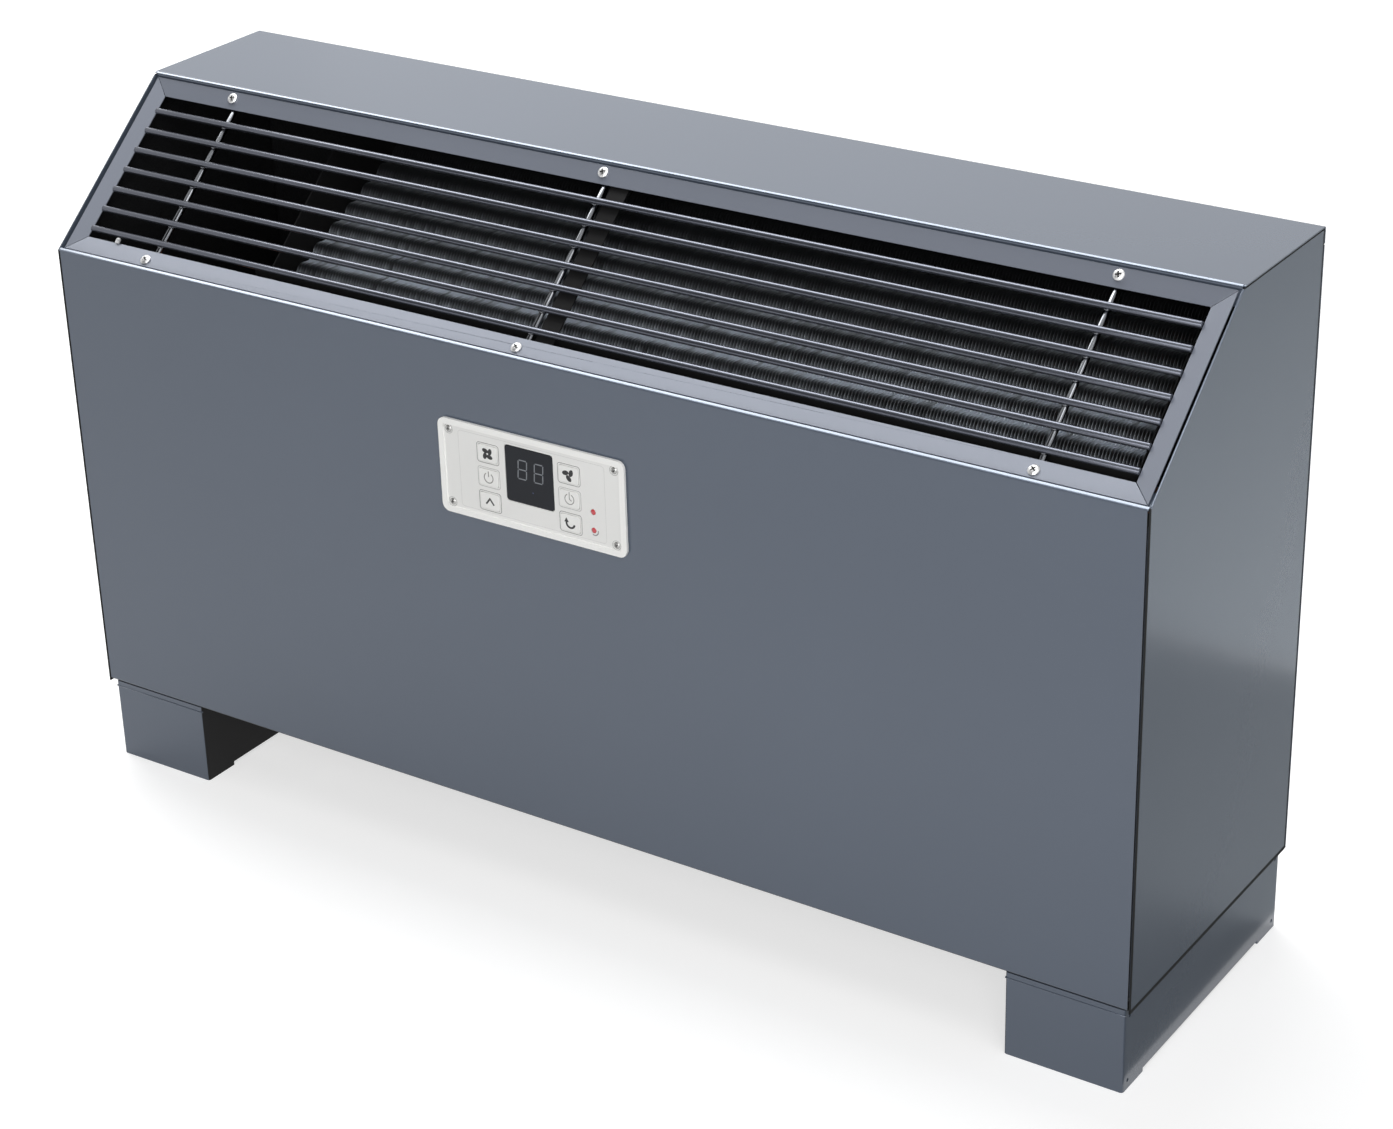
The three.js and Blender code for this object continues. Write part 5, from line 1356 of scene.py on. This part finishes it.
# ------------ stage
class BuildStage(bpy.types.Operator):
    """Set the camera, the soft lights, the cards and the pale floor"""

    bl_idname = "fan_coil.stage"
    bl_label = "Stage"

    def execute(self, context):
        settings = context.scene.fan_coil_stage
        context.scene.view_settings.view_transform = "Standard"
        place_camera(context.scene, settings)
        light_sky(context.scene, settings)
        middle = (0, 0, 0.3)
        over_left = (-1.1, 0, 0.45)
        behind_left = (-1.1, 0, 0.5)
        softbox("top_softbox", (-1.1, 0.57, 2.2), (2.8, 1.2), settings.top_light, over_left)
        softbox("rear_softbox", (-1.1, 2.7, 2.0), (3.4, 1.4), settings.rear_light, behind_left)
        softbox("front_softbox", (1.2, -2.6, 1.3), (2.4, 1.8), settings.front_light, middle)
        softbox("right_softbox", (2.8, 0.2, 1.5), (1.6, 1.4), settings.right_light, middle)
        softbox("edge_softbox", (1.5, -0.75, 2.25), (1.0, 0.8), settings.edge_light, middle)
        lay_floor(settings)
        # Painted reflection: floor_card and far_card are grey sheets on the floor, seen only in gloss,
        # that darken the side panel's lower part and set its upper part; shade_card darkens the wires'
        # reflections
        lay_card("floor_card", (1.152, -0.2, 0.002), (1.4, 1.36), 0, (0.43, 0.5))
        lay_card("far_card", (1.152, 1.08, 0.002), (1.4, 1.18), 0, (0.92, 0.99))
        lay_card("shade_card", (-1.16, -1.713, 1.478), (3.0, 2.4), radians(62), (0.05, 0.07))
        return {"FINISHED"}


def place_camera(scene, settings):
    """A camera at the place and angle of the reference view."""
    data = bpy.data.cameras.new("camera")
    data.lens = settings.lens
    data.sensor_width = 36
    camera = bpy.data.objects.new("camera", data)
    scene.collection.objects.link(camera)
    camera.matrix_world = (
        Matrix.Translation(settings.camera_place)
        @ Matrix.Rotation(settings.azimuth, 4, "Z")
        @ Matrix.Rotation(pi / 2 - settings.elevation, 4, "X")
        @ Matrix.Rotation(settings.roll, 4, "Z")
    )
    scene.camera = camera


def softbox(name, place, size, power, target):
    """A rectangular softbox that faces a point and that the camera doesn't see."""
    data = bpy.data.lights.new(name, "AREA")
    data.shape = "RECTANGLE"
    data.size, data.size_y = size
    data.energy = power
    lamp = bpy.data.objects.new(name, data)
    bpy.context.scene.collection.objects.link(lamp)
    lamp.visible_camera = False
    lamp.location = place
    lamp.rotation_euler = (Vector(target) - Vector(place)).to_track_quat("-Z", "Y").to_euler()


def seen_share(start):
    """One where a ray comes from the camera, a gloss or a glass, and nought where it lights."""
    camera = start.node("ShaderNodeLightPath")
    outputs = camera.socket.node.outputs
    glossy = Signal(start.tree, outputs["Is Glossy Ray"])
    through = Signal(start.tree, outputs["Is Transmission Ray"])
    return camera + glossy + through


def light_sky(scene, settings):
    """An even sky that shows white and lights softly."""
    world = bpy.data.worlds.new("sky")
    world.use_nodes = True
    scene.world = world
    tree = world.node_tree
    strength = seen_share(Signal(tree)) * (1 - settings.sky) + settings.sky
    background = tree.nodes["Background"]
    background.inputs["Color"].default_value = (1, 1, 1, 1)
    tree.links.new(strength.socket, background.inputs["Strength"])


def lay_floor(settings):
    """A wide pale floor that takes a soft shadow and turns white far from the unit."""
    made, shader, place = new_finish(
        "pale_floor", roughness=0.9, specular_ior_level=0.1, emission_strength=1
    )
    near = 1.3
    seen = seen_share(place)
    pale = place.noise(3, 2).mixed(shade(settings.floor, 0.99), settings.floor)
    distance = place.node("ShaderNodeVectorMath", {"operation": "LENGTH"}, {0: place}, output=1)
    glow = ((distance - near) * 0.35).mixed((settings.floor_glow,) * 3, (1, 1, 1))
    lit = seen.mixed(shade(settings.floor, 0.35), pale)
    feed(shader, base_color=lit, emission_color=seen.mixed((0, 0, 0), glow))
    bpy.ops.mesh.primitive_plane_add(size=24, location=(0, 0, -0.05 * MM))
    floor = bpy.context.object
    floor.name = "floor"
    floor.data.materials.append(made)


def lay_card(name, place, size, tilt, greys):
    """A grey card that shows only in gloss, as in a product studio."""
    made, shader, coordinates = new_finish(name, roughness=0.8, specular_ior_level=0.0)
    low, high = ((0.94 * grey, grey, 1.04 * grey) for grey in greys)
    feed(shader, base_color=coordinates.noise(4, 2).mixed(low, high))
    bpy.ops.mesh.primitive_plane_add(size=1, location=place, rotation=(tilt, 0, 0))
    card = bpy.context.object
    card.name = name
    card.scale = (*size, 1)
    card.data.materials.append(made)
    card.visible_camera = False
    card.visible_diffuse = False
    card.visible_shadow = False
    card.visible_transmission = False


# ------------ add-on
class FanCoilPanel(bpy.types.Panel):
    """Settings and build steps of the fan coil unit."""

    bl_label = "Fan Coil Unit"
    bl_idname = "VIEW3D_PT_fan_coil"
    bl_space_type = "VIEW_3D"
    bl_region_type = "UI"
    bl_category = "Fan Coil"

    def draw(self, context):
        for name, group in SETTINGS.items():
            box = self.layout.box()
            for setting in group.__annotations__:
                box.prop(getattr(context.scene, name), setting)
        for operator in OPERATORS:
            self.layout.operator(operator.bl_idname)


OPERATORS = (BuildStage, BuildCasing, BuildOutlet, BuildControl, BuildCoil, BuildInside)
CLASSES = (*SETTINGS.values(), *OPERATORS, FanCoilPanel)


def register():
    for cls in CLASSES:
        bpy.utils.register_class(cls)
    for name, group in SETTINGS.items():
        setattr(bpy.types.Scene, name, PointerProperty(type=group))


def unregister():
    for name in SETTINGS:
        delattr(bpy.types.Scene, name)
    for cls in reversed(CLASSES):
        bpy.utils.unregister_class(cls)


def main():
    register()
    bpy.ops.fan_coil.stage()
    bpy.ops.fan_coil.casing()
    bpy.ops.fan_coil.outlet()
    bpy.ops.fan_coil.control()
    bpy.ops.fan_coil.coil()
    bpy.ops.fan_coil.inside()


if __name__ == "__main__":
    main()
